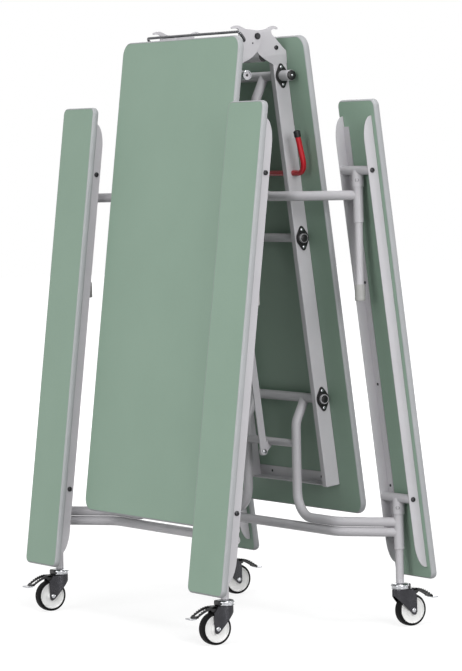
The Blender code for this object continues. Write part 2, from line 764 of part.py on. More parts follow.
def lever_grip():
    # cap over the handle's end
    hole = clear_radius(LEVER_R, GRIP_SIDES, GAP)
    depth = GRIP_LENGTH - GRIP_WALL_END
    profile = [(0.0, GRIP_LENGTH), (GRIP_R - GRIP_ROUND, GRIP_LENGTH), (GRIP_R, GRIP_LENGTH - GRIP_ROUND)]
    profile += [(GRIP_R, 0.0), (hole, 0.0), (hole, depth), (0.0, depth)]
    cap = turned(profile, GRIP_SIDES, "Z")
    bmesh.ops.transform(cap, matrix=Matrix.Rotation(-pi / 2 - LEVER_LEAN, 4, "Y"), verts=cap.verts)
    bmesh.ops.translate(cap, vec=handle_point(LEVER_HANDLE - depth + GAP), verts=cap.verts)
    return cap


# Latch bail, drawn from its own axis in the left half's frame

def latch_bail():
    front, rear = plate_faces("left")
    near = front[0] - BAIL_OUT
    far = rail_faces("left")[1][1] + BAIL_OUT
    ds = BAIL_ROD_S - BAIL_PIVOT_S
    dd = BAIL_ROD_D - BAIL_PIVOT_D
    points = [(0, front[1] - PLATE / 4, 0), (0, near, 0), (ds, near, dd)]
    points += [(ds, far, dd), (0, far, 0), (0, rear[0] + PLATE / 4, 0)]
    return tube(bend(points, (BAIL_BEND,) * 4, (2,) * 4), BAIL_R)


# Castors, drawn from the swivel axis at floor level: x towards the wheel

def skirt_outline(half, reach, back):
    # plan of the pressed fork: straight sides and an elliptical nose
    points = [(back, -half)]
    for k in range(NOSE_STEPS + 1):
        turn = pi * k / NOSE_STEPS
        points.append((-reach * sin(turn), -half * cos(turn)))
    return points + [(back, half)]


def castor_fork():
    # fork pressed from one sheet, open below and behind, with its swivel head, stem and riveted axle
    outer = CHEEK_IN + CHEEK
    back = TRAIL + CHEEK_BEHIND
    past = back + CHEEK_BEHIND
    low = WHEEL_R - 2 * CHEEK_BOSS_R
    under = CROWN_TOP - CROWN_PLATE
    shell = prism(skirt_outline(outer, NOSE_REACH, back), low, CROWN_TOP, axis="Z")
    cavity = prism(skirt_outline(CHEEK_IN, NOSE_REACH - CHEEK, past), low - CHEEK, under, axis="Z")
    notch = box((CROWN_BACK, -CHEEK_IN, under - CHEEK), (past, CHEEK_IN, CROWN_TOP + CHEEK))
    front = -NOSE_REACH - CHEEK
    dx, dz = front - TRAIL, NOSE_FOOT - WHEEL_R
    touch = atan2(dz, dx) + acos(CHEEK_BOSS_R / hypot(dx, dz))
    outline = [(past, CROWN_TOP + CHEEK), (front, CROWN_TOP + CHEEK), (front, NOSE_FOOT)]
    outline += arc((TRAIL, WHEEL_R), CHEEK_BOSS_R, touch, 2 * pi, 5)
    outline += [(back, CHEEK_BACK_Z), (past, CHEEK_BACK_Z)]
    side_view = prism(outline, -2 * outer, 2 * outer)
    pressing = combine(cut(shell, cavity, notch), [side_view], "INTERSECT")
    base = CROWN_TOP - CROWN_PLATE / 2
    profile = [(0.0, HEAD_TOP), (HEAD_R - HEAD_ROUND, HEAD_TOP), (HEAD_R, HEAD_TOP - HEAD_ROUND)]
    profile += [(HEAD_R, CROWN_TOP + GAP), (HEAD_R - HEAD_ROUND, base), (0.0, base)]
    head = turned(profile, HEAD_SIDES, "Z")
    stem = rod(STEM_R, base, HEAD_TOP + STEM_LENGTH, "Z")
    tip = outer + AXLE_HEAD
    inside = outer - CHEEK / 2
    profile = [(0.0, tip), (AXLE_HEAD_R, tip), (AXLE_HEAD_R, inside), (AXLE_R, inside)]
    profile += [(radius, -height) for radius, height in reversed(profile)]
    axle = turned(profile, TUBE_SIDES, "Y", (TRAIL, 0.0, WHEEL_R))
    return fuse(pressing, head, stem, axle)


def castor_hub():
    hole = clear_radius(AXLE_R)
    rim = TYRE_IN_R - GAP
    boss = CHEEK_IN - 2 * GAP
    upper = [(hole, boss), (HUB_BOSS_R, boss), (rim - HUB_RIM, HUB_WEB_HALF), (rim, HUB_RIM_HALF)]
    lower = [(radius, -height) for radius, height in reversed(upper)]
    return turned(upper + lower, WHEEL_SIDES, "Y", flat_down=True)


def castor_tyre():
    upper = [(TYRE_IN_R, TYRE_HALF), (WHEEL_R - TYRE_SHOULDER, TYRE_HALF), (WHEEL_R, TYRE_HALF * TYRE_TREAD)]
    lower = [(radius, -height) for radius, height in reversed(upper)]
    return turned(upper + lower, WHEEL_SIDES, "Y", flat_down=True)


def castor_pedal():
    # arched brake lever between the cheeks, drawn from its own pivot, with a slot and a wide toe
    half = CHEEK_IN - GAP
    dx = PEDAL_END_X - PEDAL_PIVOT_X
    dz = PEDAL_END_Z - PEDAL_PIVOT_Z
    steps = [k / PEDAL_STEPS for k in range(PEDAL_STEPS + 1)]
    fall = dz - PEDAL_CREST
    spine = [(PEDAL_ROOT * (t - 1) + dx * t, PEDAL_CREST + fall * t ** PEDAL_ARCH) for t in steps]
    under = [(x, z - PEDAL_PLATE) for x, z in reversed(spine)]
    arm = prism(spine + under, -half, half)
    slot_half = half * PEDAL_SLOT
    slot = box((dx * PEDAL_SLOT_FROM, -slot_half, dz - PEDAL_PLATE * 2),
               (dx * PEDAL_SLOT_TO, slot_half, PEDAL_CREST * 2))
    toe_foot = dz - PEDAL_PLATE + GAP
    toe = box((dx - PEDAL_TOE_LAP, -PEDAL_TOE_HALF, toe_foot),
              (dx + PEDAL_TOE_LENGTH, PEDAL_TOE_HALF, toe_foot + PEDAL_TOE))
    return fuse(cut(arm, slot), toe)


# Assembly

def build_half(side):
    sign = SIDES[side]
    end_at = half_point(side, END_PIVOT, PIVOT_D)
    centre_at = half_point(side, CENTRE_PIVOT, PIVOT_D)
    torsion_at = half_point(side, TORSION_PIVOT, PIVOT_D)
    hinge_at = Vector((0.0, 0.0, HINGE_HEIGHT))
    if side == "right":
        table_axis = axis_empty("fold_axis_right", end_at, sign * TABLE_TURN)
        table_place = (-END_PIVOT, 0.0, -PIVOT_D)
    else:
        table_axis = axis_empty("hinge_axis_left", hinge_at, sign * TABLE_TURN)
        table_place = (0.0, 0.0, 0.0)

    low = (TABLE_EDGE_FROM_HINGE, -TABLE_WIDTH / 2)
    high = (TABLE_EDGE_FROM_HINGE + TABLE_LENGTH, TABLE_WIDTH / 2)
    slab = (low, high, BOARD_UNDER, TABLE_TOP_ABOVE_HINGE, TABLE_CORNER)
    add(f"table_board_{side}", board(*slab), table_axis, LAMINATE, side, table_place)
    add(f"table_edge_strip_{side}", edge_strip(*slab), table_axis, EDGE, side, table_place)
    for face in FACES:
        add(f"table_rail_{face}_{side}", table_rail(side, face), table_axis, POWDER, side, table_place)
    add(f"cross_angle_{side}", cross_angle(side), table_axis, POWDER, side, table_place)
    if side == "right":
        for face in FACES:
            add(f"hinge_bolt_{face}", hinge_bolt(face), table_axis, DARK_BOLT, side, table_place)
        add("hinge_cross_tube", hinge_cross_tube(), table_axis, POWDER, side, table_place)
        lever_axis = axis_empty("lever_axis", half_point(side, LEVER_S, LEVER_D), TABLE_TURN)
        add("lock_lever", lock_lever(), lever_axis, RED_COAT)
        add("lock_lever_grip", lever_grip(), lever_axis, PLASTIC)
    else:
        bail_axis = axis_empty("bail_axis", half_point(side, BAIL_PIVOT_S, BAIL_PIVOT_D), sign * TABLE_TURN)
        add("latch_bail", latch_bail(), bail_axis, PLATED, side)

    torsion_axis = axis_empty(f"torsion_axis_{side}", torsion_at)
    add(f"torsion_tube_{side}", torsion_tube(side), torsion_axis, POWDER, side)
    pin_at = end_at + Vector((-sign * PIN_IN, 0.0, -PIN_DROP))
    link_axis = axis_empty(f"link_axis_{side}", pin_at, sign * TABLE_TURN)
    add(f"link_bar_{side}", link_bar(), link_axis, POWDER, side)

    centre_axis = axis_empty(f"centre_frame_axis_{side}", centre_at)
    add(f"centre_frame_{side}", centre_frame(side), centre_axis, POWDER, side)
    for face, way in FACES.items():
        add(f"centre_foot_{face}_{side}", foot(way), centre_axis, FOOT_PLASTIC, side)

    frame_axis = axis_empty(f"end_frame_axis_{side}", end_at)
    add(f"end_frame_{side}", end_frame(side), frame_axis, POWDER, side)

    for face, way in FACES.items():
        bench_at = end_at + Vector((sign * LEG_OUT, way * BENCH_CENTRE_Y, -LEG_DROP))
        label = f"{face}_{side}"
        bench_axis = axis_empty(f"bench_axis_{label}", bench_at, sign * TABLE_TURN)
        seat = (*bench_corners(), SEAT_ABOVE_PIVOT - BENCH_BOARD, SEAT_ABOVE_PIVOT, BENCH_CORNER)
        add(f"bench_board_{label}", board(*seat), bench_axis, LAMINATE, side)
        add(f"bench_edge_strip_{label}", edge_strip(*seat), bench_axis, EDGE, side)
        add(f"bench_outer_rail_{label}", bench_rail(way), bench_axis, POWDER, side)
        add(f"bench_inner_rail_{label}", bench_rail(-way), bench_axis, POWDER, side)

        castor_at = Vector((bench_at.x, bench_at.y, 0.0))
        swivel_axis = axis_empty(f"swivel_axis_{label}", castor_at)
        wheel_axis = axis_empty(f"wheel_axis_{label}", (sign * TRAIL, 0.0, WHEEL_R), parent=swivel_axis)
        pedal_at = (sign * PEDAL_PIVOT_X, 0.0, PEDAL_PIVOT_Z)
        pedal_axis = axis_empty(f"pedal_axis_{label}", pedal_at, parent=swivel_axis)
        add(f"castor_fork_{label}", castor_fork(), swivel_axis, GALVANISED, side)
        add(f"castor_hub_{label}", castor_hub(), wheel_axis, HUB_PLASTIC, side)
        add(f"castor_tyre_{label}", castor_tyre(), wheel_axis, RUBBER, side)
        add(f"castor_pedal_{label}", castor_pedal(), pedal_axis, PLASTIC, side)


for half in SIDES:
    build_half(half)
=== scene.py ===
import json
import math

import bmesh
import bpy
from mathutils import Matrix, Vector


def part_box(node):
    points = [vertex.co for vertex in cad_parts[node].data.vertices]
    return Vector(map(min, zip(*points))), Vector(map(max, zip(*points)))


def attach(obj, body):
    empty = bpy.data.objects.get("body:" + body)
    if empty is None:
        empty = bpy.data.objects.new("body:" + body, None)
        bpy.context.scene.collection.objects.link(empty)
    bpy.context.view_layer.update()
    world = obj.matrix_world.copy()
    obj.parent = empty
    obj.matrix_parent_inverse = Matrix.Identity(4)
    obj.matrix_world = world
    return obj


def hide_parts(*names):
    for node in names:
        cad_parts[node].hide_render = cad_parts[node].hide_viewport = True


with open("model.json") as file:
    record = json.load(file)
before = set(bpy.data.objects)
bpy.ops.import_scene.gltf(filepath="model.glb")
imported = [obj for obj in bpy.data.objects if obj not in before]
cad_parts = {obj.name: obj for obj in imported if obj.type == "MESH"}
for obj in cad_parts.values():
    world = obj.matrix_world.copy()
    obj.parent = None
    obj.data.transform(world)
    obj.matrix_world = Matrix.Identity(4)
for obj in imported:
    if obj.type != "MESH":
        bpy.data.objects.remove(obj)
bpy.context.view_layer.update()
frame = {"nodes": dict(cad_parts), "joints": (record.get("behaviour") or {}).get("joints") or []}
scene = bpy.context.scene
scene.view_settings.view_transform = "Standard"

joints = {joint["name"]: joint for joint in frame["joints"]}
foldTurn = math.radians(joints["fold"]["range_deg"][1])  # how far a table half turns from folded to flat
outward = {"right": 1, "left": -1}
fore = {"front": -1, "rear": 1}
print("frame loaded:", len(frame["nodes"]), "nodes")


# Places: every piece is drawn in its own frame and moved to the joint that carries it

def jointAt(name):
    return Vector(joints[name]["pos_m"])


def upright(joint, side):
    return Matrix.Translation(jointAt(joint)) @ Matrix.Scale(outward[side], 4, (1, 0, 0))


def alongTable(joint, side):
    # x runs down the folded table half, z out of its top
    turn = Matrix.Rotation(outward[side] * foldTurn, 4, "Y")
    return Matrix.Translation(jointAt(joint)) @ turn @ Matrix.Scale(outward[side], 4, (1, 0, 0))


def tablePlace(side):
    return alongTable("table_left_hinge", side)


def endFrameJoint(side):
    return "fold" if side == "right" else "end_frame_left_pivot"


# Shapes

weldWithin = 1e-6       # points nearer than this are one
levelWithin = 1e-7      # an edge whose ends differ by less than this is level
smallRound = 0.008      # a corner rounded less than this takes fewer steps


def pullFaces(bm, faces, move):
    # extrudes faces along a move and gives the new end faces
    grown = bmesh.ops.extrude_face_region(bm, geom=faces)["geom"]
    moved = [item for item in grown if isinstance(item, bmesh.types.BMVert)]
    bmesh.ops.translate(bm, vec=Vector(move), verts=moved)
    return [item for item in grown if isinstance(item, bmesh.types.BMFace)]


def bevelEdges(bm, edges, size, segments):
    bmesh.ops.bevel(bm, geom=edges, offset=size, offset_type="OFFSET", segments=segments, profile=0.5,
                    affect="EDGES", material=-1, clamp_overlap=True)


def roundCorners(bm, verts, size, segments):
    bmesh.ops.bevel(bm, geom=verts, offset=size, offset_type="OFFSET", segments=segments, profile=0.5,
                    affect="VERTICES", material=-1)


def cutAway(bm, spot, normal):
    # takes off what lies beyond a plane and gives what the cut made
    return bmesh.ops.bisect_plane(bm, geom=bm.verts[:] + bm.edges[:] + bm.faces[:], dist=weldWithin, plane_co=spot,
                                  plane_no=normal, clear_outer=True)["geom_cut"]


def faceOutward(bm):
    bmesh.ops.recalc_face_normals(bm, faces=bm.faces)
    bm.normal_update()


def softenSharp(bm, size, segments=2, limit=0.9):
    # rounds every edge sharper than a limit
    faceOutward(bm)
    edges = [edge for edge in bm.edges if edge.is_manifold and edge.calc_face_angle() > limit]
    bevelEdges(bm, edges, size, segments)
    return bm


def softenRims(bm, axis, size, segments=2):
    # rounds the two outlines of a plate whose thickness runs along an axis
    faceOutward(bm)
    rims = []
    for edge in bm.edges:
        level = abs(edge.verts[0].co[axis] - edge.verts[1].co[axis]) < levelWithin
        if level and edge.is_manifold and edge.calc_face_angle() > 0.6:
            rims.append(edge)
    bevelEdges(bm, rims, size, segments)
    return bm


def cornerFace(bm, outline, flat):
    # face through a few corners, each with its own rounding; flat puts a pair of numbers in place
    corners = [(bm.verts.new(flat(a, b)), rounding) for a, b, rounding in outline]
    bm.faces.new([vert for vert, rounding in corners])
    for vert, rounding in corners:
        if rounding:
            roundCorners(bm, [vert], rounding, 4 if rounding < smallRound else 12)
    return bm.faces[:]


def plate(outline, low, high, rim=0.0007):
    # sheet-metal plate in x, z with its thickness along y
    bm = bmesh.new()
    faces = cornerFace(bm, outline, lambda a, b: (a, low, b))
    pullFaces(bm, faces, (0, high - low, 0))
    if rim:
        softenRims(bm, axis=1, size=rim)
    return bm


def slab(low, high, under, top, corner, rim):
    # board in x, y with rounded corners
    (x0, y0), (x1, y1) = low, high
    outline = [(x0, y0, corner), (x1, y0, corner), (x1, y1, corner), (x0, y1, corner)]
    bm = bmesh.new()
    faces = cornerFace(bm, outline, lambda a, b: (a, b, under))
    pullFaces(bm, faces, (0, 0, top - under))
    return softenRims(bm, axis=2, size=rim)


def block(low, high, rim, segments=3):
    bm = bmesh.new()
    size = Vector(high) - Vector(low)
    middle = (Vector(high) + Vector(low)) / 2
    bmesh.ops.create_cube(bm, size=1.0, matrix=Matrix.Translation(middle) @ Matrix.Diagonal((*size, 1.0)))
    return softenSharp(bm, rim, segments)


def turned(profile, steps=32, closed=False):
    # profile of (radius, height) points spun about z
    bm = bmesh.new()
    line = [bm.verts.new((radius, 0, height)) for radius, height in profile]
    edges = [bm.edges.new(pair) for pair in zip(line, line[1:])]
    if closed:
        edges.append(bm.edges.new((line[-1], line[0])))
    bmesh.ops.spin(bm, geom=line + edges, cent=(0, 0, 0), axis=(0, 0, 1), angle=math.tau, steps=steps,
                   use_merge=True)
    bmesh.ops.remove_doubles(bm, verts=bm.verts, dist=weldWithin)
    return bm


def tube(corners, radius, bends=(), sides=24, steps=8, rim=0.0):
    # round tube along straight runs, with a bend of its own radius at each inner corner
    points = [Vector(corner) for corner in corners]
    heading = (points[1] - points[0]).normalized()
    start = Matrix.Translation(points[0]) @ heading.to_track_quat("Z", "Y").to_matrix().to_4x4()
    bm = bmesh.new()
    bmesh.ops.create_circle(bm, cap_ends=True, segments=sides, radius=radius, matrix=start)
    tip = bm.faces[:]
    at = points[0]
    for here, after, bend in zip(points[1:-1], points[2:], bends):
        ahead = (after - here).normalized()
        turn = heading.angle(ahead)
        reach = bend * math.tan(turn / 2)
        stop = here - heading * reach
        tip = pullFaces(bm, tip, stop - at)
        axis = heading.cross(ahead).normalized()
        centre = stop + axis.cross(heading) * bend
        stepTurn = Matrix.Rotation(turn / steps, 3, axis)
        for step in range(steps):
            tip = pullFaces(bm, tip, (0, 0, 0))
            bmesh.ops.rotate(bm, cent=centre, matrix=stepTurn, verts=tip[0].verts[:])
        at = here + ahead * reach
        heading = ahead
    pullFaces(bm, tip, points[-1] - at)
    if rim:
        softenSharp(bm, rim)
    return bm


def moved(bm, matrix):
    bmesh.ops.transform(bm, matrix=matrix, verts=bm.verts)
    return bm


def shifted(bm, x, y, z):
    return moved(bm, Matrix.Translation((x, y, z)))


def facing(bm, way):
    # turns a shape made about z so that its top points to the front (-1) or rear (1)
    return moved(bm, Matrix.Rotation(-way * math.pi / 2, 4, "X"))


def together(*shapes):
    whole = bmesh.new()
    for bm in shapes:
        mesh = bpy.data.meshes.new("loose")
        bm.to_mesh(mesh)
        bm.free()
        whole.from_mesh(mesh)
        bpy.data.meshes.remove(mesh)
    return whole


def domeHead(sizes, steps):
    # round screw or bolt head standing on z = 0, with a driver recess if it has one
    radius, height, recess = sizes["head"], sizes["height"], sizes.get("recess", 0.0)
    top = [(0.0, height)]
    if recess:
        top = [(0.0, height * 0.45), (recess, height * 0.45), (recess, height * 0.97)]
    profile = top + [(radius * 0.62, height * 0.93), (radius * 0.88, height * 0.68), (radius, height * 0.25)]
    return turned(profile + [(radius, 0.0), (0.0, 0.0)], steps)


def headOn(spot, way, sizes, steps=20):
    # round head on a face that looks to the front (-1) or rear (1)
    return shifted(facing(domeHead(sizes, steps), way), *spot)


def headUnder(spot, sizes):
    # round head on a face that looks down
    return shifted(moved(domeHead(sizes, steps=16), Matrix.Rotation(math.pi, 4, "X")), *spot)


def hexHead(radius, height):
    # hexagon bolt head or nut with a washer face
    bm = bmesh.new()
    bmesh.ops.create_cone(bm, cap_ends=True, segments=6, radius1=radius, radius2=radius, depth=height,
                          matrix=Matrix.Translation((0, 0, height / 2)))
    return softenSharp(bm, height * 0.12, 2)


smoothLimit = math.radians(38)


def addPiece(name, bm, place, finish, body, nodes=(), slotName=None):
    # slotName is not used
    bmesh.ops.remove_doubles(bm, verts=bm.verts, dist=weldWithin)
    bmesh.ops.transform(bm, matrix=place, verts=bm.verts)
    bmesh.ops.recalc_face_normals(bm, faces=bm.faces)
    mesh = bpy.data.meshes.new(name)
    bm.to_mesh(mesh)
    bm.free()
    mesh.shade_smooth()
    mesh.set_sharp_from_angle(angle=smoothLimit)
    mesh.materials.append(paint[finish])
    piece = bpy.data.objects.new(name, mesh)
    scene.collection.objects.link(piece)
    evenNormals = piece.modifiers.new("evenNormals", "WEIGHTED_NORMAL")
    evenNormals.keep_sharp = True
    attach(piece, body)
    slotName or finish
    if nodes:
        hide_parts(*nodes)
    return piece


def onTable(name, bm, side, finish, nodes=()):
    return addPiece(name, bm, tablePlace(side), finish, f"table_{side}", nodes)


# Materials

def fillInputs(tree, node, inputs):
    # links an input that is given a socket, and sets the others
    for key, value in inputs.items():
        if isinstance(value, bpy.types.NodeSocket):
            tree.links.new(value, node.inputs[key])
        else:
            node.inputs[key].default_value = value


def addNode(tree, kind, inputs=None, **settings):
    node = tree.nodes.new(kind)
    for key, value in settings.items():
        setattr(node, key, value)
    fillInputs(tree, node, inputs or {})
    return node


def makeSurfaceGroup():
    # grain, broad patches and fine scratches over a surface, on Object coordinates
    group = bpy.data.node_groups.new("handledSurface", "ShaderNodeTree")
    for label, value in (("Grain Scale", 600.0), ("Patch Scale", 5.0), ("Scratch Scale", 30.0)):
        socket = group.interface.new_socket(name=label, in_out="INPUT", socket_type="NodeSocketFloat")
        socket.default_value = value
    for label in ("Grain", "Patch", "Scratch"):
        group.interface.new_socket(name=label, in_out="OUTPUT", socket_type="NodeSocketFloat")
    given = addNode(group, "NodeGroupInput").outputs
    spot = addNode(group, "ShaderNodeTexCoord").outputs["Object"]
    grain = addNode(group, "ShaderNodeTexNoise", {"Vector": spot, "Scale": given["Grain Scale"], "Detail": 3.0})
    patch = addNode(group, "ShaderNodeTexNoise",
                    {"Vector": spot, "Scale": given["Patch Scale"], "Detail": 4.0, "Roughness": 0.6})
    spread = addNode(group, "ShaderNodeMapRange", {"Value": patch.outputs["Fac"], "From Min": 0.3, "From Max": 0.7})
    stretch = addNode(group, "ShaderNodeMapping",
                      {"Vector": spot, "Rotation": (0.4, 0.7, 0.3), "Scale": (1.0, 14.0, 0.8)})
    scratch = addNode(group, "ShaderNodeTexNoise",
                      {"Vector": stretch.outputs["Vector"], "Scale": given["Scratch Scale"], "Detail": 2.0})
    thin = addNode(group, "ShaderNodeMapRange",
                   {"Value": scratch.outputs["Fac"], "From Min": 0.68, "From Max": 0.76})
    addNode(group, "NodeGroupOutput", {"Grain": grain.outputs["Fac"], "Patch": spread.outputs["Result"],
                                       "Scratch": thin.outputs["Result"]})
    return group


surfaceGroup = makeSurfaceGroup()
fleckRange = (0.50, 0.72)   # grain values between which flecks appear
bumpDepth = 0.0004


def srgb(red, green, blue):
    # screen colour from 0 to 255 as the linear colour that a shader takes
    parts = []
    for value in (red, green, blue):
        share = value / 255
        parts.append(share / 12.92 if share <= 0.04045 else ((share + 0.055) / 1.055) ** 2.4)
    return (*parts, 1.0)


def makeFinish(name, look):
    # colour between two tones by patch and grain, roughness by grain and scratches, bump by grain
    finish = bpy.data.materials.new(name)
    finish.use_nodes = True
    tree = finish.node_tree
    main, patched, flecked = (srgb(*tone) for tone in look["tones"])
    grainScale, patchScale = look["scales"]
    surface = addNode(tree, "ShaderNodeGroup",
                      {"Grain Scale": grainScale, "Patch Scale": patchScale,
                       "Scratch Scale": look.get("scratchScale", 30.0)}, node_tree=surfaceGroup)
    grain, patch, scratch = (surface.outputs[label] for label in ("Grain", "Patch", "Scratch"))
    ground = addNode(tree, "ShaderNodeMix", {"Factor": patch, "A": main, "B": patched}, data_type="RGBA")
    flecks = addNode(tree, "ShaderNodeMapRange", {"Value": grain, "From Min": fleckRange[0],
                                                  "From Max": fleckRange[1], "To Max": look["fleck"]})
    colour = addNode(tree, "ShaderNodeMix", {"Factor": flecks.outputs["Result"], "A": ground.outputs["Result"],
                                             "B": flecked}, data_type="RGBA")
    smooth, rough = look["roughness"]
    gloss = addNode(tree, "ShaderNodeMapRange", {"Value": grain, "To Min": smooth, "To Max": rough})
    scuffed = addNode(tree, "ShaderNodeMath", {0: scratch, 1: look.get("scratch", 0.0), 2: gloss.outputs["Result"]},
                      operation="MULTIPLY_ADD")
    bump = addNode(tree, "ShaderNodeBump", {"Strength": look["bump"], "Distance": bumpDepth, "Height": grain})
    fillInputs(tree, tree.nodes["Principled BSDF"],
               {"Base Color": colour.outputs["Result"], "Roughness": scuffed.outputs["Value"],
                "Normal": bump.outputs["Normal"], "Metallic": look.get("metallic", 0.0),
                "Specular IOR Level": look.get("specular", 0.5)})
    return finish


# tones: the surface, its patches and its flecks; scales: grain and patches
finishes = {
    "laminate_green": {"tones": ((140, 163, 147), (136, 159, 143), (124, 147, 131)), "fleck": 0.5,
                       "scales": (900.0, 3.0), "roughness": (0.40, 0.52), "bump": 0.08, "scratch": 0.08,
                       "specular": 0.18},
    "edge_grey": {"tones": ((166, 168, 170), (159, 161, 163), (146, 148, 150)), "fleck": 0.4,
                  "scales": (700.0, 9.0), "roughness": (0.45, 0.60), "bump": 0.12, "scratch": 0.12,
                  "specular": 0.25},
    "frame_grey": {"tones": ((192, 190, 194), (186, 184, 188), (174, 172, 176)), "fleck": 0.35,
                   "scales": (520.0, 7.0), "roughness": (0.34, 0.48), "bump": 0.16, "scratch": 0.10,
                   "specular": 0.30},
    "black_plastic": {"tones": ((26, 26, 27), (31, 31, 32), (44, 44, 45)), "fleck": 0.4, "scales": (1100.0, 25.0),
                      "roughness": (0.28, 0.44), "bump": 0.2, "scratch": 0.12, "specular": 0.35},
    "tyre_black": {"tones": ((9, 9, 10), (13, 13, 13), (22, 22, 22)), "fleck": 0.4, "scales": (800.0, 30.0),
                   "roughness": (0.55, 0.75), "bump": 0.35, "scratch": 0.1, "specular": 0.12},
    "foot_grey": {"tones": ((170, 170, 168), (160, 160, 158), (142, 142, 140)), "fleck": 0.4,
                  "scales": (800.0, 30.0), "roughness": (0.55, 0.72), "bump": 0.3, "specular": 0.3},
    "bright_zinc": {"tones": ((190, 191, 194), (160, 161, 165), (206, 206, 208)), "fleck": 0.4,
                    "scales": (300.0, 60.0), "roughness": (0.16, 0.34), "bump": 0.08, "metallic": 1.0,
                    "scratch": 0.2, "scratchScale": 60.0},
    # the fork's chrome has a dark base colour: a painted dark reflection in place of the dark surroundings it
    # mirrors; its bright strip comes from the lamps
    "fork_chrome": {"tones": ((64, 64, 67), (57, 57, 60), (80, 80, 83)), "fleck": 0.3, "scales": (420.0, 40.0),
                    "roughness": (0.23, 0.31), "bump": 0.04, "metallic": 1.0, "scratch": 0.15,
                    "scratchScale": 70.0},
    "chrome_rod": {"tones": ((186, 187, 190), (172, 173, 177), (160, 161, 165)), "fleck": 0.3,
                   "scales": (500.0, 40.0), "roughness": (0.06, 0.16), "bump": 0.03, "metallic": 1.0,
                   "scratch": 0.2, "scratchScale": 60.0},
    # the bail's chrome has a dark base colour: a painted dark reflection in place of the dark surroundings the
    # polished rod mirrors
    "bail_painted_dark_reflection": {"tones": ((96, 97, 100), (80, 81, 84), (120, 121, 124)), "fleck": 0.3, "scales": (500.0, 40.0),
                    "roughness": (0.05, 0.14), "bump": 0.03, "metallic": 1.0, "scratch": 0.2, "scratchScale": 60.0},
    "red_coat": {"tones": ((184, 34, 44), (172, 28, 38), (146, 22, 32)), "fleck": 0.35, "scales": (600.0, 30.0),
                 "roughness": (0.26, 0.40), "bump": 0.12, "specular": 0.3},
    "hub_grey": {"tones": ((240, 240, 239), (234, 234, 233), (222, 222, 221)), "fleck": 0.4,
                 "scales": (700.0, 40.0), "roughness": (0.36, 0.50), "bump": 0.12, "scratch": 0.1,
                 "specular": 0.35},
    "dark_bolt": {"tones": ((58, 58, 60), (46, 46, 48), (80, 80, 82)), "fleck": 0.4, "scales": (700.0, 60.0),
                  "roughness": (0.30, 0.46), "bump": 0.15, "metallic": 0.7, "scratch": 0.2},
}
paint = {name: makeFinish(name, look) for name, look in finishes.items()}
print("materials made:", len(paint))


# Boards with their edge strips

boardEdge = {"strip": 0.0050, "seam": 0.0003, "crown": 0.0045, "flat": 0.0006, "arris": 0.0005}


def boardShapes(low, high, under, top, corner):
    strip = boardEdge["strip"]
    inLow = (low[0] + strip, low[1] + strip)
    inHigh = (high[0] - strip, high[1] - strip)
    board = slab(inLow, inHigh, under, top, corner - strip, boardEdge["arris"])

    outline = [(low[0], low[1], corner), (high[0], low[1], corner), (high[0], high[1], corner),
               (low[0], high[1], corner)]
    band = bmesh.new()
    inner = cornerFace(band, outline, lambda a, b: (a, b, under))
    bmesh.ops.inset_region(band, faces=inner, thickness=strip - boardEdge["seam"], use_even_offset=True,
                           use_boundary=True)
    bmesh.ops.delete(band, geom=inner, context="FACES")
    drawn = 2 * boardEdge["crown"] + boardEdge["flat"]
    pullFaces(band, band.faces[:], (0, 0, drawn))
    faceOutward(band)

    def onOutside(vert):
        dx = max(low[0] + corner - vert.co.x, vert.co.x - high[0] + corner, 0.0)
        dy = max(low[1] + corner - vert.co.y, vert.co.y - high[1] + corner, 0.0)
        away = math.hypot(dx, dy) if dx > 0 and dy > 0 else max(dx, dy)
        return away > corner - strip / 2

    rims = []
    for edge in band.edges:
        level = abs(edge.verts[0].co.z - edge.verts[1].co.z) < levelWithin
        if level and onOutside(edge.verts[0]) and onOutside(edge.verts[1]):
            rims.append(edge)
    bevelEdges(band, rims, boardEdge["crown"], 6)
    stretch = Matrix.Translation((0, 0, under)) @ Matrix.Scale((top - under) / drawn, 4, (0, 0, 1))
    return board, moved(band, stretch @ Matrix.Translation((0, 0, -under)))


tableTop = {"fromHinge": 0.013, "length": 1.512, "width": 0.740, "corner": 0.043, "under": 0.102, "top": 0.122}
benchSeat = {"inner": -1.239, "outer": 0.255, "width": 0.209, "corner": 0.022, "under": 0.0214, "top": 0.0414}

for side in outward:
    half = tableTop["width"] / 2
    board, band = boardShapes((tableTop["fromHinge"], -half), (tableTop["fromHinge"] + tableTop["length"], half),
                              tableTop["under"], tableTop["top"], tableTop["corner"])
    onTable(f"tableTop_{side}", board, side, "laminate_green", [f"table_board_{side}"])
    onTable(f"tableBand_{side}", band, side, "edge_grey", [f"table_edge_strip_{side}"])
    for face in fore:
        half = benchSeat["width"] / 2
        board, band = boardShapes((benchSeat["inner"], -half), (benchSeat["outer"], half), benchSeat["under"],
                                  benchSeat["top"], benchSeat["corner"])
        body = f"bench_{face}_{side}"
        place = alongTable(f"bench_{face}_{side}_pivot", side)
        addPiece(f"benchSeat_{face}_{side}", board, place, "laminate_green", body, [f"bench_board_{face}_{side}"])
        addPiece(f"benchBand_{face}_{side}", band, place, "edge_grey", body, [f"bench_edge_strip_{face}_{side}"])
print("boards and bands done")


# Table rails with their hinge plates, bearings and cross angle

rail = {"start": 0.088, "end": 1.436, "bottom": 0.0517, "top": 0.1017, "round": 0.003, "wall": 0.002,
        "recess": 0.0015}
hingePlate = {"thick": 0.006, "weld": 0.0005, "hook": {"right": 0.0810, "left": 0.0950},
              "ground": (0.066, 0.100)}
pivots = {"centre": 0.133, "torsion": 0.645, "end": 1.157, "depth": 0.0767}


def railSpan(side, face):
    # low and high y of a rail: its node also holds the hinge plate on the rail's front
    low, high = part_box(f"table_rail_{face}_{side}")
    return low.y + hingePlate["thick"], high.y


def outerFaces(side):
    # front of the front rail and rear of the rear rail
    return railSpan(side, "front")[0], railSpan(side, "rear")[1]


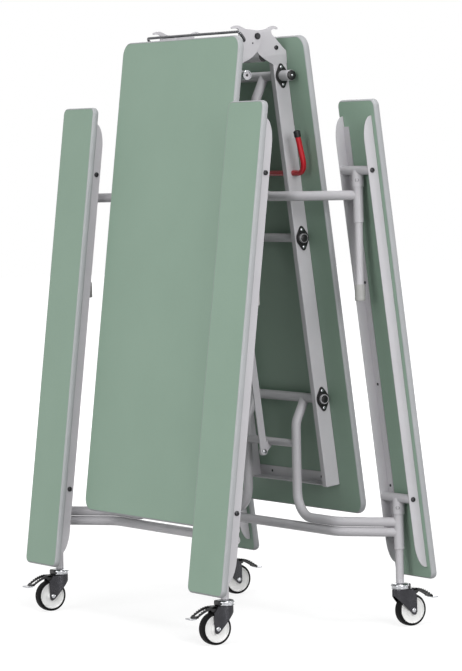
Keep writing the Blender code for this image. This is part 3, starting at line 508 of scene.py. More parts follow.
def hingeOutline(reach):
    return [(0.0965, 0.0525, 0), (0.092, 0.0477, 0.002), (0.070, 0.014, 0.010), (0.046, -0.007, 0.012),
            (-0.01857, -0.02323, 0.0236), (-0.0172, 0.46 * reach, 0.006), (-0.0255, 0.74 * reach, 0.006),
            (-0.0235, 0.86 * reach, 0.004), (-0.0180, reach, 0.0020), (-0.0115, reach - 0.001, 0.0016),
            (-0.0155, 0.80 * reach, 0.004), (-0.0110, 0.70 * reach, 0.0025), (-0.0020, 0.69 * reach, 0.004),
            (0.0150, 0.0680, 0.007), (0.0480, 0.0930, 0.007), (0.0570, 0.1012, 0.003), (0.0965, 0.1012, 0)]


def blendFoot(bm, low):
    # grinds the plate's foot down to the rail's face
    (x0, x1), thick = hingePlate["ground"], hingePlate["thick"]
    away = Vector((thick, x0 - x1, 0)).normalized()
    cut = cutAway(bm, (x0, low - thick, 0), away)
    bmesh.ops.contextual_create(bm, geom=[item for item in cut if isinstance(item, bmesh.types.BMEdge)])
    return bm


def railShape(low, high):
    bm = block((rail["start"], low, rail["bottom"]), (rail["end"], high, rail["top"]), rail["round"], segments=4)
    bm.normal_update()
    ends = [face for face in bm.faces if abs(face.normal.x) > 0.99]
    bmesh.ops.inset_individual(bm, faces=ends, thickness=rail["wall"], depth=-rail["recess"])
    return bm


for side in outward:
    for face in fore:
        low, high = railSpan(side, face)
        outline = hingeOutline(hingePlate["hook"][side])
        cheek = blendFoot(plate(outline, low - hingePlate["thick"], low + hingePlate["weld"]), low)
        onTable(f"tableRail_{face}_{side}", together(railShape(low, high), cheek), side, "frame_grey",
                [f"table_rail_{face}_{side}"])

crossAngle = {"leg": 0.036, "wall": 0.003, "gap": 0.0003, "screws": 3, "screwAt": 0.55, "head": 0.0042,
              "height": 0.0024, "recess": 0.0015}

for side in outward:
    low, high = railSpan(side, "front")[1] + crossAngle["gap"], railSpan(side, "rear")[0] - crossAngle["gap"]
    inner = rail["end"] - crossAngle["leg"]
    under = rail["top"] - crossAngle["leg"]
    wall = crossAngle["wall"]
    outline = [(inner, rail["top"] - wall, 0.001), (rail["end"] - wall, rail["top"] - wall, 0.002),
               (rail["end"] - wall, under, 0.001), (rail["end"], under, 0.001), (rail["end"], rail["top"], 0.003),
               (inner, rail["top"], 0)]
    onTable(f"endAngle_{side}", plate(outline, low, high, rim=0.0005), side, "frame_grey", [f"cross_angle_{side}"])
    heads = []
    for count in range(crossAngle["screws"]):
        y = low + (high - low) * (count + 0.5) / crossAngle["screws"]
        spot = (rail["end"] - crossAngle["leg"] * crossAngle["screwAt"], y, rail["top"] - wall)
        heads.append(headUnder(spot, crossAngle))
    onTable(f"endAngleScrews_{side}", together(*heads), side, "dark_bolt")

bearing = {"reach": 0.046, "endRound": 0.014, "half": 0.027, "sideRound": 0.016, "thick": 0.0045, "hub": 0.0192,
           "bore": 0.0158, "hubHeight": 0.0090, "screwPitch": 0.027, "head": 0.0056, "height": 0.0030,
           "recess": 0.0018}


def bearingShape():
    # diamond flange with a round hub about the tube
    outline = []
    for way in (1, -1):
        outline.append((way * bearing["reach"], 0, bearing["endRound"]))
        outline.append((0, way * bearing["half"], bearing["sideRound"]))
    flange = bmesh.new()
    sheet = cornerFace(flange, outline, lambda a, b: (a, b, 0))
    bmesh.ops.delete(flange, geom=sheet, context="FACES_ONLY")
    bmesh.ops.create_circle(flange, segments=len(flange.verts), radius=bearing["bore"])
    bmesh.ops.bridge_loops(flange, edges=flange.edges[:])
    pullFaces(flange, flange.faces[:], (0, 0, bearing["thick"]))
    softenRims(flange, axis=2, size=0.0012, segments=3)
    hub, hole, top = bearing["hub"], bearing["bore"], bearing["hubHeight"]
    profile = [(hole, top), (hub - 0.0016, top), (hub - 0.0004, top - 0.0006), (hub, top - 0.0018), (hub, 0.001),
               (hole, 0.001)]
    return together(flange, turned(profile, steps=40, closed=True))


for side in outward:
    for face, way in fore.items():
        low, high = railSpan(side, face)
        y = low if way < 0 else high
        shells, screws = [], []
        for pivot in ("centre", "torsion", "end"):
            shells.append(shifted(facing(bearingShape(), way), pivots[pivot], y, pivots["depth"]))
            for end in (-1, 1):
                spot = (pivots[pivot] + end * bearing["screwPitch"], y + way * bearing["thick"], pivots["depth"])
                screws.append(headOn(spot, way, bearing))
        onTable(f"bearings_{face}_{side}", together(*shells), side, "black_plastic")
        onTable(f"bearingScrews_{face}_{side}", together(*screws), side, "chrome_rod")
print("rails and bearings done")


# Hinge bolts, tie tube and latch bail

hingeBolt = {"shank": 0.006, "head": 0.0090, "headHeight": 0.006, "washer": 0.0105, "washerHeight": 0.0015,
             "nut": 0.0090, "nutHeight": 0.0065, "gap": 0.0003, "behind": 0.001, "headShare": 0.92}
stopBolt = {"spot": (0.0438, 0.0666), "head": 0.0072, "height": 0.0040, "recess": 0.0026}
plateRivet = {"spot": (0.0235, 0.0147), "head": 0.0027, "height": 0.0008}
tieTube = {"spot": (0.066, 0.020), "radius": 0.0165}

for face, way in fore.items():
    leftLow = railSpan("left", face)[0]
    rightLow = railSpan("right", face)[0]
    thick, behind = hingePlate["thick"], hingeBolt["behind"]
    faces = sorted((leftLow - thick, leftLow + behind, rightLow - thick, rightLow + behind))
    headAt, nutAt = (faces[0], faces[-1]) if way < 0 else (faces[-1], faces[0])
    gap = hingeBolt["gap"]
    ring, rise = hingeBolt["washer"], hingeBolt["washerHeight"]
    washer = turned([(0.0, rise), (ring - 0.0005, rise), (ring, rise - 0.0005), (ring, 0.0), (0.0, 0.0)])
    head = shifted(hexHead(hingeBolt["head"] * hingeBolt["headShare"], hingeBolt["headHeight"] - rise), 0, 0, rise)
    top = shifted(facing(together(washer, head), way), 0, headAt + way * gap, 0)
    nut = shifted(facing(hexHead(hingeBolt["nut"], hingeBolt["nutHeight"]), -way), 0, nutAt - way * gap, 0)
    shank = tube([(0, headAt + way * gap, 0), (0, nutAt - way * (gap + hingeBolt["nutHeight"] - 0.001), 0)],
                 hingeBolt["shank"], rim=0.0006)
    onTable(f"hingeBolt_{face}", together(top, nut, shank), "right", "dark_bolt", [f"hinge_bolt_{face}"])
    stopSpot = (stopBolt["spot"][0], rightLow - thick, stopBolt["spot"][1])
    stop = headOn(stopSpot, -1, stopBolt)
    onTable(f"stopBolt_{face}", stop, "right", "dark_bolt")
    rivetSpot = (plateRivet["spot"][0], leftLow - thick, plateRivet["spot"][1])
    rivet = headOn(rivetSpot, -1, plateRivet, steps=16)
    onTable(f"plateRivet_{face}", rivet, "left", "dark_bolt")

tieEnds = [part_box("hinge_cross_tube")[k].y for k in (0, 1)]
tieSpot = tieTube["spot"]
tieShape = tube([(tieSpot[0], tieEnds[0], tieSpot[1]), (tieSpot[0], tieEnds[1], tieSpot[1])], tieTube["radius"])
onTable("hingeTie", tieShape, "right", "frame_grey", ["hinge_cross_tube"])

bail = {"radius": 0.0045, "bend": 0.012, "rodOffset": (-0.0252, 0.0258), "out": 0.028, "frontInset": 0.0005,
        "rearInset": 0.0015}
frontLow, rearHigh = outerFaces("left")
bailInset = [frontLow - bail["frontInset"],
             railSpan("left", "rear")[0] - hingePlate["thick"] + bail["rearInset"]]
bailFront = frontLow - hingePlate["thick"] - bail["out"]
bailRear = rearHigh + bail["out"]
x, z = bail["rodOffset"]
bailRun = [(0, bailInset[0], 0), (0, bailFront, 0), (x, bailFront, z), (x, bailRear, z), (0, bailRear, 0),
           (0, bailInset[1], 0)]
# the bail's dark chrome is a painted dark reflection
addPiece("latchBail", tube(bailRun, bail["radius"], (bail["bend"],) * 4, sides=20, rim=0.0006),
         alongTable("latch_bail_turn", "left"), "bail_painted_dark_reflection", "latch_bail", ["latch_bail"], "chrome_rod")
print("hinge and bail done")


# Leg frames: pivot tube, bent risers, tees and stepped legs

legFrame = {"tube": 0.015, "brace": 0.0125, "riserY": 0.152, "inset": 0.036, "set": 0.078, "setBend": 0.070,
            "cornerBend": 0.080, "kinkY": 0.385, "kinkBend": 0.070, "upperDrop": 0.3745, "pitch": 0.031,
            "braceDrop": 0.145, "legOut": 0.097, "legY": 0.535, "legDrop": 0.2985, "leg": 0.0155,
            "legStep": 0.160, "slimLeg": 0.0125, "benchPivot": 0.401, "castorSeat": 0.1353, "footSeat": 0.0213}
tee = {"tube": 0.014, "half": 0.0792, "sleeve": 0.0185, "sleeveDrop": 0.051, "rivetDrop": 0.030,
       "rivetTurn": math.radians(42)}
teeRivet = {"head": 0.0046, "height": 0.0022, "sunk": 0.0006}
rivetRing = {"head": 0.0060, "height": 0.0014, "sunk": 0.0012}
benchBolt = {"shank": 0.005, "head": 0.008, "height": 0.0045, "face": 0.0828, "recess": 0.0034}
linkPin = {"inward": 0.066, "drop": 0.177, "lugRoot": 0.0115, "armRoot": 0.019, "armHalf": 0.013,
           "armLow": 0.0033, "armHigh": 0.0093, "shank": 0.005, "head": 0.008, "height": 0.005,
           "headAt": -0.0033, "recess": 0.0026}
torsion = {"shaft": 0.014}
linkBar = {"reach": 0.512, "halfWidth": 0.012, "halfThick": 0.003}


def riserShape(way):
    y = way * legFrame["riserY"]
    inset, drop = legFrame["inset"], legFrame["upperDrop"]
    run = [(0, y, 0), (-inset, y, -legFrame["set"]), (-inset, y, -drop), (-inset, way * legFrame["kinkY"], -drop),
           (legFrame["legOut"], way * legFrame["legY"], -drop)]
    bends = (legFrame["setBend"], legFrame["cornerBend"], legFrame["kinkBend"])
    return tube(run, legFrame["tube"], bends, sides=28, steps=12)


def lowerTubeShape():
    inset, drop = legFrame["inset"], legFrame["upperDrop"] + legFrame["pitch"]
    run = [(legFrame["legOut"], -legFrame["legY"], -drop), (-inset, -legFrame["kinkY"], -drop),
           (-inset, legFrame["kinkY"], -drop), (legFrame["legOut"], legFrame["legY"], -drop)]
    return tube(run, legFrame["tube"], (legFrame["kinkBend"],) * 2, sides=28, steps=10)


def legShapes(way, bottom):
    # sleeve, leg and slim lower leg turned in one piece, with the tee's cross tube and rivets
    x, y, z = legFrame["legOut"], way * legFrame["legY"], -legFrame["legDrop"]
    wide, leg, slim = tee["sleeve"], legFrame["leg"], legFrame["slimLeg"]
    drop, step = -tee["sleeveDrop"], -legFrame["legStep"]
    profile = [(0.0, 0.0), (wide, 0.0), (wide, drop + 0.001), (wide - 0.001, drop), (leg, drop),
               (leg, step + 0.0015), (leg - 0.0008, step), (slim, step - 0.001), (slim, bottom + 0.001),
               (slim - 0.001, bottom), (0.0, bottom)]
    post = shifted(turned(profile, steps=28), x, y, z)
    cross = tube([(x, y - tee["half"], z), (x, y + tee["half"], z)], tee["tube"], sides=28, rim=0.0012)
    return [post, cross, *onSleeve(way, teeRivet, steps=16)]


def onSleeve(way, sizes, steps):
    # a round head on the front and on the rear of a tee's sleeve, turned toward the table's middle
    x, y, z = legFrame["legOut"], way * legFrame["legY"], -legFrame["legDrop"] - tee["rivetDrop"]
    heads = []
    for end in (-1, 1):
        head = headOn((0, end * (tee["sleeve"] - sizes["sunk"]), 0), end, sizes, steps)
        heads.append(shifted(moved(head, Matrix.Rotation(end * tee["rivetTurn"], 4, "Z")), x, y, z))
    return heads


def rivetRings():
    # thin dark discs that show as a ring about each rivet
    return together(*onSleeve(-1, rivetRing, steps=20), *onSleeve(1, rivetRing, steps=20))


def benchBolts():
    shapes = []
    x, z = legFrame["legOut"], -legFrame["legDrop"]
    for way in (-1, 1):
        for end in (-1, 1):
            y = way * legFrame["legY"] + end * benchBolt["face"]
            shapes.append(headOn((x, y, z), end, benchBolt))
            inside = way * legFrame["legY"] + end * tee["half"]
            ends = [(x, inside - end * 0.004, z), (x, y + end * 0.0005, z)]
            shapes.append(tube(ends, benchBolt["shank"], sides=20))
    return together(*shapes)


def armOutline(start, startRadius, end, endRadius):
    # outline of a flat arm with round ends, from a rectangle whose corners are rounded off
    a, b = Vector(start), Vector(end)
    along = (b - a).normalized()
    across = Vector((-along.y, along.x))
    corners = []
    for spot, radius, way in ((a, startRadius, -1), (b, endRadius, 1)):
        pair = [spot + along * way * radius + across * radius, spot + along * way * radius - across * radius]
        corners += pair if way < 0 else reversed(pair)
    sizes = (startRadius, startRadius, endRadius, endRadius)
    return [(corner.x, corner.y, size * 0.995) for corner, size in zip(corners, sizes)]


def armShape(root, rootRadius):
    # flat arm from a tube to the link's pin
    outline = armOutline(root, rootRadius, (-linkPin["inward"], -linkPin["drop"]), linkPin["armHalf"])
    return plate(outline, linkPin["armLow"], linkPin["armHigh"])


def pinShape():
    head = headOn((0, linkPin["headAt"], 0), -1, linkPin)
    shank = tube([(0, linkPin["headAt"], 0), (0, linkPin["armHigh"] - 0.001, 0)], linkPin["shank"], sides=20)
    return shifted(together(head, shank), -linkPin["inward"], 0, -linkPin["drop"])


def crossTube(front, rear, radius):
    return tube([(0, front, 0), (0, rear, 0)], radius, sides=28, rim=0.0008)


def addFrame(label, side, place, seat, pivotTube, *extras):
    # leg frame with its bench bolts and the dark rings about its rivets; seat is the height its legs end at
    body = f"{label}_frame_{side}"
    bottom = legFrame[seat] - legFrame["benchPivot"]
    parts = [pivotTube, riserShape(-1), riserShape(1), *extras, *legShapes(-1, bottom), *legShapes(1, bottom)]
    addPiece(f"{label}Frame_{side}", together(*parts), place, "frame_grey", body, [body])
    addPiece(f"{label}BenchBolts_{side}", benchBolts(), place, "dark_bolt", body)
    addPiece(f"{label}TeeRings_{side}", rivetRings(), place, "dark_bolt", body)


stubs = {"right": 0.060, "left": 0.097, "rear": 0.030, "through": 0.014, "mouth": 0.006}

for side in outward:
    frontLow, rearHigh = outerFaces(side)
    front, rear = frontLow - stubs["through"], rearHigh + stubs["through"]

    # end frame, with the lower cross tube, brace and the link's lug
    place = upright(endFrameJoint(side), side)
    x, y, z = -legFrame["inset"], legFrame["riserY"], -legFrame["braceDrop"]
    brace = tube([(x, -y, z), (x, y, z)], legFrame["brace"])
    lug = armShape((x, z), linkPin["lugRoot"])
    pivotTube = crossTube(front, rear, legFrame["tube"])
    addFrame("end", side, place, "castorSeat", pivotTube, brace, lug, lowerTubeShape())
    addPiece(f"lugPin_{side}", pinShape(), place, "bright_zinc", f"end_frame_{side}")

    # centre frame, whose pivot tube stands out of the rails as stubs
    place = upright(f"centre_frame_{side}_pivot", side)
    stubEnd = frontLow - stubs[side]
    if side == "left":
        stubEnd += stubs["mouth"]
    pivotTube = crossTube(stubEnd, rearHigh + stubs["rear"], legFrame["tube"])
    addFrame("centre", side, place, "footSeat", pivotTube)

    # torsion tube with its crank, and the flat link bar
    place = upright(f"torsion_tube_{side}_pivot", side)
    body = f"torsion_tube_{side}"
    crank = armShape((0, 0), linkPin["armRoot"])
    addPiece(f"torsionTube_{side}", together(crossTube(front, rear, torsion["shaft"]), crank), place, "frame_grey",
             body, [body])
    addPiece(f"crankPin_{side}", pinShape(), place, "bright_zinc", body)
    outline = armOutline((-linkBar["reach"], 0), linkBar["halfWidth"], (0, 0), linkBar["halfWidth"])
    link = plate(outline, -linkBar["halfThick"], linkBar["halfThick"])
    body = f"link_bar_{side}"
    addPiece(f"linkBar_{side}", link, alongTable(f"{body}_pivot", side), "frame_grey", body, [body])
print("leg frames done")


# Tube ends, stubs and feet

# the tie sizes are for the black caps in the tie tube's ends, which are painted shade
plug = {"radius": 0.0126, "rise": 0.0028, "stubRadius": 0.0158, "stubRise": 0.0050, "seat": 0.001,
        "tieShadeCapRadius": 0.0162, "tieShadeCapRise": 0.0006}
stubCover = {"radius": 0.0166, "bore": 0.0151, "from": 0.0095, "toEnd": 0.0012}
mouth = {"radius": 0.0152, "bore": 0.0118, "depth": 0.0035}
stubBolt = {"head": 0.0042, "height": 0.0026}
foot = {"radius": 0.0165, "height": 0.051, "bore": 0.0130, "floor": 0.021, "groove": (0.0120, 0.0162),
        "grooveDepth": 0.0008, "grooveSlope": 0.0012}


def plugAt(spot, way, radius, rise):
    # push-in plug: a low dome with a rounded rim, set a little into the tube's end
    profile = [(0.0, rise), (radius * 0.45, rise * 0.94), (radius * 0.75, rise * 0.74),
               (radius * 0.93, rise * 0.42), (radius, 0.0), (radius, -plug["seat"]), (0.0, -plug["seat"])]
    return shifted(facing(turned(profile), way), *spot)


# end caps of the tie tube, made black as painted shade: they give the dark shade that falls under the right hinge
# plate
tieShadeCaps = []
for way, y in zip((-1, 1), tieEnds):
    tieShadeCaps.append(plugAt((tieSpot[0], y, tieSpot[1]), way, plug["tieShadeCapRadius"], plug["tieShadeCapRise"]))
onTable("hingeTieShadeCaps", together(*tieShadeCaps), "right", "black_plastic")

for side in outward:
    frontLow, rearHigh = outerFaces(side)
    for body, joint in ((f"end_frame_{side}", endFrameJoint(side)),
                        (f"torsion_tube_{side}", f"torsion_tube_{side}_pivot")):
        plugs = []
        for way, y in ((-1, frontLow - stubs["through"]), (1, rearHigh + stubs["through"])):
            plugs.append(plugAt((0, y, 0), way, plug["radius"], plug["rise"]))
        addPiece(f"tubePlugs_{body}", together(*plugs), upright(joint, side), "black_plastic", body)

    place = upright(f"centre_frame_{side}_pivot", side)
    body = f"centre_frame_{side}"
    stubEnd = frontLow - stubs[side]
    if side == "right":
        run, begin = stubs[side] - stubCover["toEnd"], stubCover["from"]
        radius, bore = stubCover["radius"], stubCover["bore"]
        profile = [(bore, run), (radius - 0.0008, run), (radius, run - 0.0008), (radius, begin), (bore, begin)]
        cover = shifted(facing(turned(profile, closed=True), -1), 0, frontLow, 0)
        addPiece("stubSleeve", cover, place, "frame_grey", body)
        end = plugAt((0, stubEnd, 0), -1, plug["stubRadius"], plug["stubRise"])
        addPiece("stubPlug", end, place, "black_plastic", body)
        boltAt = stubEnd - plug["stubRise"] + 0.0004
    else:
        # open end: bright rim about a floor with a dark bolt
        radius, bore, deep = mouth["radius"], mouth["bore"], stubs["mouth"]
        profile = [(bore, 0.0), (radius - 0.0012, 0.0), (radius, -0.0012), (radius, -deep - 0.002),
                   (bore, -deep - 0.002)]
        rimRing = shifted(facing(turned(profile, closed=True), -1), 0, stubEnd, 0)
        addPiece("stubRim", rimRing, place, "bright_zinc", body)
        floorAt = -mouth["depth"]
        profile = [(0.0, floorAt), (bore * 0.7, floorAt), (bore - 0.0001, floorAt - 0.0006), (bore - 0.0001, -deep),
                   (0.0, -deep)]
        inner = shifted(facing(turned(profile), -1), 0, stubEnd, 0)
        addPiece("stubFloor", inner, place, "frame_grey", body)
        boltAt = stubEnd + mouth["depth"]
    bolt = headOn((0, boltAt, 0), -1, stubBolt)
    boltFinish = "chrome_rod" if side == "right" else "dark_bolt"
    addPiece(f"stubBolt_{side}", bolt, place, boltFinish, body)
    end = plugAt((0, rearHigh + stubs["rear"], 0), 1, plug["stubRadius"], plug["rise"])
    addPiece(f"stubPlug_rear_{side}", end, place, "black_plastic", body)
    for face, way in fore.items():
        radius, height, (low, high) = foot["radius"], foot["height"], foot["groove"]
        depth, slope = foot["grooveDepth"], foot["grooveSlope"]
        profile = [(0.0, 0.0), (radius - 0.003, 0.0), (radius - 0.0008, 0.0008), (radius, 0.003),
                   (radius, low), (radius - depth, low + slope), (radius - depth, high - slope), (radius, high),
                   (radius - 0.0006, height - 0.003), (radius - 0.0026, height), (foot["bore"], height),
                   (foot["bore"], foot["floor"]), (0.0, foot["floor"])]
        cup = shifted(turned(profile), legFrame["legOut"], way * legFrame["legY"],
                      -legFrame["legDrop"] - legFrame["benchPivot"])
        addPiece(f"centreFoot_{face}_{side}", cup, place, "foot_grey", body, [f"centre_foot_{face}_{side}"])
print("stub ends and feet done")


# Bench rails: an angle with boat-shaped ends, screwed to the seat

benchRail = {"start": -1.189, "end": 0.215, "top": 0.0211, "depth": 0.035, "wall": 0.003, "flange": 0.030,
             "face": 0.0825, "taper": 0.078, "tip": 0.004, "flangeInset": 0.032,
             "screws": (-0.991, -0.671, -0.351, -0.031), "screwAt": 0.55, "head": 0.0046,
             "height": 0.0022, "recess": 0.0015}


def benchRailShape(way):
    top, tip = benchRail["top"], benchRail["tip"]
    bottom, rise = top - benchRail["depth"], benchRail["depth"] - tip
    squeeze = rise / benchRail["taper"]     # the ends are drawn round, then stretched to their taper
    x0, x1 = benchRail["start"] * squeeze, benchRail["end"] * squeeze
    face = way * benchRail["face"]
    back = face - way * benchRail["wall"]
    web = bmesh.new()
    outline = [(x1, top, 0), (x0, top, 0), (x0, bottom, rise * 0.999), (x1, bottom, rise * 0.999)]
    sheet = cornerFace(web, outline, lambda a, b: (a, face, b))
    bmesh.ops.scale(web, vec=(1 / squeeze, 1, 1), verts=web.verts)
    pullFaces(web, sheet, (0, back - face, 0))
    softenRims(web, axis=1, size=0.0006)
    edge = face - way * benchRail["flange"]
    low, high = sorted((face - way * benchRail["wall"] / 2, edge))
    inset = benchRail["flangeInset"]
    flange = slab((benchRail["start"] + inset, low), (benchRail["end"] - inset, high), top - benchRail["wall"], top,
                  corner=0.0012, rim=0.0005)
    return together(web, flange)


for side in outward:
    for face, way in fore.items():
        place = alongTable(f"bench_{face}_{side}_pivot", side)
        body = f"bench_{face}_{side}"
        heads = []
        for label, hand in (("outer", way), ("inner", -way)):
            addPiece(f"benchRail_{label}_{face}_{side}", benchRailShape(hand), place, "frame_grey", body,
                     [f"bench_{label}_rail_{face}_{side}"])
            for x in benchRail["screws"]:
                y = hand * (benchRail["face"] - benchRail["flange"] * benchRail["screwAt"])
                spot = (x, y, benchRail["top"] - benchRail["wall"])
                heads.append(headUnder(spot, benchRail))
        addPiece(f"benchScrews_{face}_{side}", together(*heads), place, "dark_bolt", body)
print("bench rails done")


# Lock lever and its grip

lever = {"radius": 0.0088, "out": 0.073, "handle": 0.1325, "lean": math.radians(6.2), "bend": 0.042,
         "rearEnd": 0.008}
grip = {"radius": 0.0107, "length": 0.022, "bore": 0.0091, "endWall": 0.004, "round": 0.0035, "gap": 0.0003}

frontLow, rearHigh = outerFaces("right")
leverFront, leverRear = frontLow - lever["out"], rearHigh + lever["rearEnd"]
leverPlace = alongTable("lock_lever_turn", "right")


def handlePoint(reach):
    # the handle leans a little inward from the table's own direction
    return Vector((-reach * math.cos(lever["lean"]), leverFront, -reach * math.sin(lever["lean"])))


leverRun = [(0, leverRear, 0), handlePoint(0), handlePoint(lever["handle"])]
leverRod = tube(leverRun, lever["radius"], (lever["bend"],), sides=28, steps=14, rim=0.001)
addPiece("lockLever", leverRod, leverPlace, "red_coat", "lock_lever", ["lock_lever"])
radius, length = grip["radius"], grip["length"]
depth = length - grip["endWall"]
profile = [(0.0, length), (radius * 0.45, length - 0.0004), (radius * 0.80, length - 0.0018),
           (radius, length - grip["round"] - 0.001), (radius * 0.96, length * 0.5), (radius, 0.0015),
           (radius - 0.0008, 0.0), (grip["bore"], 0.0), (grip["bore"], depth), (0.0, depth)]
cap = moved(turned(profile, steps=28), Matrix.Rotation(-math.pi / 2 - lever["lean"], 4, "Y"))
addPiece("leverGrip", shifted(cap, *handlePoint(lever["handle"] - depth + grip["gap"])), leverPlace,
         "black_plastic", "lock_lever", ["lock_lever_grip"])
print("lever done")


# Castors: pressed fork, swivel race, wheel, brake pedal

castor = {"crownTop": 0.1185, "back": 0.0485, "outer": 0.0205, "sheet": 0.0025, "straight": 0.0250,
          "press": 0.0050, "nose": 0.0285, "noseFoot": (-0.0285, 0.0985), "boss": 0.0120, "low": 0.010,
          "rearSlope": ((0.0330, 0.1185), (0.0485, 0.0980)), "headRadius": 0.0290, "headTop": 0.1350,
          "stem": 0.0055, "stemTop": 0.165, "trail": 0.0365,
          "housing": (0.0080, 0.0305), "housingHalf": 0.0165, "housingZ": (0.1180, 0.1340),
          "housingRound": 0.0040}
axle = {"radius": 0.0040, "head": 0.0075, "height": 0.0045}
wheel = {"radius": 0.050, "tyreIn": 0.0420, "half": 0.015, "shoulder": 0.0045, "boss": 0.0120, "bore": 0.0050,
         "bossHalf": 0.0169, "web": 0.0095, "rimHalf": 0.0142, "rim": 0.0040, "gap": 0.0003,
         "ridge": (0.0200, 0.0224), "ridgeSlope": 0.0006, "ridgeRise": 0.0012}
pedal = {"armIn": 0.0128, "armOut": 0.0170, "root": (-0.0045, 0.0120), "rootZ": (0.0045, 0.0122),
         "bar": (0.0585, 0.0680), "barZ": (-0.0195, -0.0140), "crest": 0.0125, "tip": (0.0695, -0.0170),
         "arch": 2.2, "ribs": 7, "ribsFrom": 0.30, "ribsOver": 0.62, "rib": 0.0013,
         "ribZ": (-0.0012, 0.0010), "toe": (0.0648, 0.0884), "toeHalf": 0.0188,
         "toeZ": (-0.0232, -0.0188), "toeCorner": 0.0060,
         "outline": ((-0.0045, 0.0125, 0), (0.014, 0.0113, 0.010), (0.036, 0.0047, 0.014), (0.0695, -0.0170, 0.001),
                     (0.0690, -0.0228, 0.001), (0.036, -0.0030, 0.014), (0.016, 0.0030, 0.004),
                     (0.011, -0.0045, 0.003), (-0.0045, -0.0045, 0.002))}


def forkShape():
    # pressed sheet: a rounded plan drawn up, its rim pressed over, then cut open behind and below
    half, back, top = castor["outer"], castor["back"], castor["crownTop"]
    reach = castor["straight"] + castor["nose"]
    bm = bmesh.new()
    first = bm.verts.new((0, -half, 0))
    bmesh.ops.spin(bm, geom=[first], cent=(0, 0, 0), axis=(0, 0, -1), angle=math.pi, steps=28)
    bmesh.ops.transform(bm, verts=bm.verts, matrix=Matrix.Translation((castor["straight"], 0, castor["low"]))
                        @ Matrix.Scale(reach / half, 4, (1, 0, 0)))
    ends = [vert for vert in bm.verts if len(vert.link_edges) == 1]
    rear = [bm.verts.new((back, end.co.y, castor["low"])) for end in ends]
    for pair in (*zip(ends, rear), rear):
        bm.edges.new(pair)
    plan = bmesh.ops.contextual_create(bm, geom=bm.edges[:])["faces"]
    pullFaces(bm, plan, (0, 0, top - castor["low"]))
    bmesh.ops.recalc_face_normals(bm, faces=bm.faces)
    rim = [edge for edge in bm.edges if all(vert.co.z > top - weldWithin for vert in edge.verts)]
    bevelEdges(bm, rim, castor["press"], 5)
    bm.normal_update()
    opened = [face for face in bm.faces if face.normal.z < -0.99 or face.normal.x > 0.99]
    bmesh.ops.delete(bm, geom=opened, context="FACES")

    # slanted lower edge, tangent to the axle boss, and a sloped rear corner
    nose, boss = Vector(castor["noseFoot"]), castor["boss"]
    away = nose - Vector((castor["trail"], wheel["radius"]))
    touch = math.atan2(away.y, away.x) + math.acos(boss / away.length)
    rearTop, rearFoot = Vector(castor["rearSlope"][0]), Vector(castor["rearSlope"][1])
    fall = rearFoot - rearTop
    cuts = (((nose.x, 0, nose.y), (math.cos(touch), 0, math.sin(touch))),
            ((rearTop.x, 0, rearTop.y), (-fall.y, 0, fall.x)))
    for spot, normal in cuts:
        cutAway(bm, spot, normal)
    lowest = min(vert.co.z for vert in bm.verts)
    tips = [vert for vert in bm.verts if vert.co.z < lowest + 1e-5]
    tipAngle = math.acos(-math.cos(touch))     # between the slanted edge and the upright rear edge
    roundCorners(bm, tips, boss / math.tan(tipAngle / 2), 10)
    bmesh.ops.recalc_face_normals(bm, faces=bm.faces)
    bmesh.ops.solidify(bm, geom=bm.faces[:], thickness=castor["sheet"])
    return bm


def forkHead():
    # swivel head: two dished plates about a dark race, and the stem into the leg
    radius, top, crown = castor["headRadius"], castor["headTop"], castor["crownTop"]
    profile = [(0.0, castor["stemTop"]), (castor["stem"] - 0.001, castor["stemTop"]),
               (castor["stem"], castor["stemTop"] - 0.001), (castor["stem"], top), (radius - 0.009, top),
               (radius - 0.003, top - 0.0014), (radius - 0.0006, top - 0.0038), (radius, top - 0.0060),
               (radius, top - 0.0080), (radius - 0.0030, top - 0.0092), (radius - 0.0030, crown + 0.0022),
               (radius - 0.0006, crown + 0.0016), (radius - 0.0006, crown + 0.0002),
               (radius - 0.004, crown - 0.001), (0.0, crown - 0.001)]
    return turned(profile, steps=40)


def housingShape():
    # moulded brake housing over the rear of the swivel head
    (x0, x1), half, (z0, z1) = (castor[key] for key in ("housing", "housingHalf", "housingZ"))
    return block((x0, -half, z0), (x1, half, z1), castor["housingRound"], segments=4)


def axleShape():
    parts = []
    for way in (-1, 1):
        spot = (castor["trail"], way * castor["outer"], wheel["radius"])
        parts.append(headOn(spot, way, axle, steps=24))
    ends = [(castor["trail"], way * castor["outer"], wheel["radius"]) for way in (-1, 1)]
    parts.append(tube(ends, axle["radius"], sides=20))
    return together(*parts)


def hubShape():
    # boss, thin web with a low round ridge, and rim
    boss, high, web, rimHigh = (wheel[key] for key in ("boss", "bossHalf", "web", "rimHalf"))
    rim = wheel["tyreIn"] - wheel["gap"]
    (ridgeIn, ridgeOut), slope, ridgeTop = wheel["ridge"], wheel["ridgeSlope"], web + wheel["ridgeRise"]
    upper = [(wheel["bore"], high), (boss - 0.001, high), (boss, high - 0.001), (boss + 0.001, web + 0.002),
             (ridgeIn, web), (ridgeIn + slope, ridgeTop), (ridgeOut - slope, ridgeTop), (ridgeOut, web),
             (rim - wheel["rim"], web + 0.0008), (rim - 0.0030, rimHigh - 0.001), (rim - 0.0020, rimHigh),
             (rim, rimHigh)]
    lower = [(radius, -height) for radius, height in reversed(upper)]
    return facing(turned(upper + lower, steps=48, closed=True), 1)


def tyreShape():
    radius, half, shoulder = wheel["radius"], wheel["half"], wheel["shoulder"]
    upper = [(wheel["tyreIn"], half - 0.0015), (wheel["tyreIn"] + 0.0015, half), (radius - shoulder, half),
             (radius - shoulder * 0.45, half * 0.93), (radius - shoulder * 0.14, half * 0.78),
             (radius, half * 0.52)]
    lower = [(size, -height) for size, height in reversed(upper)]
    return facing(turned(upper + lower, steps=64, closed=True), 1)


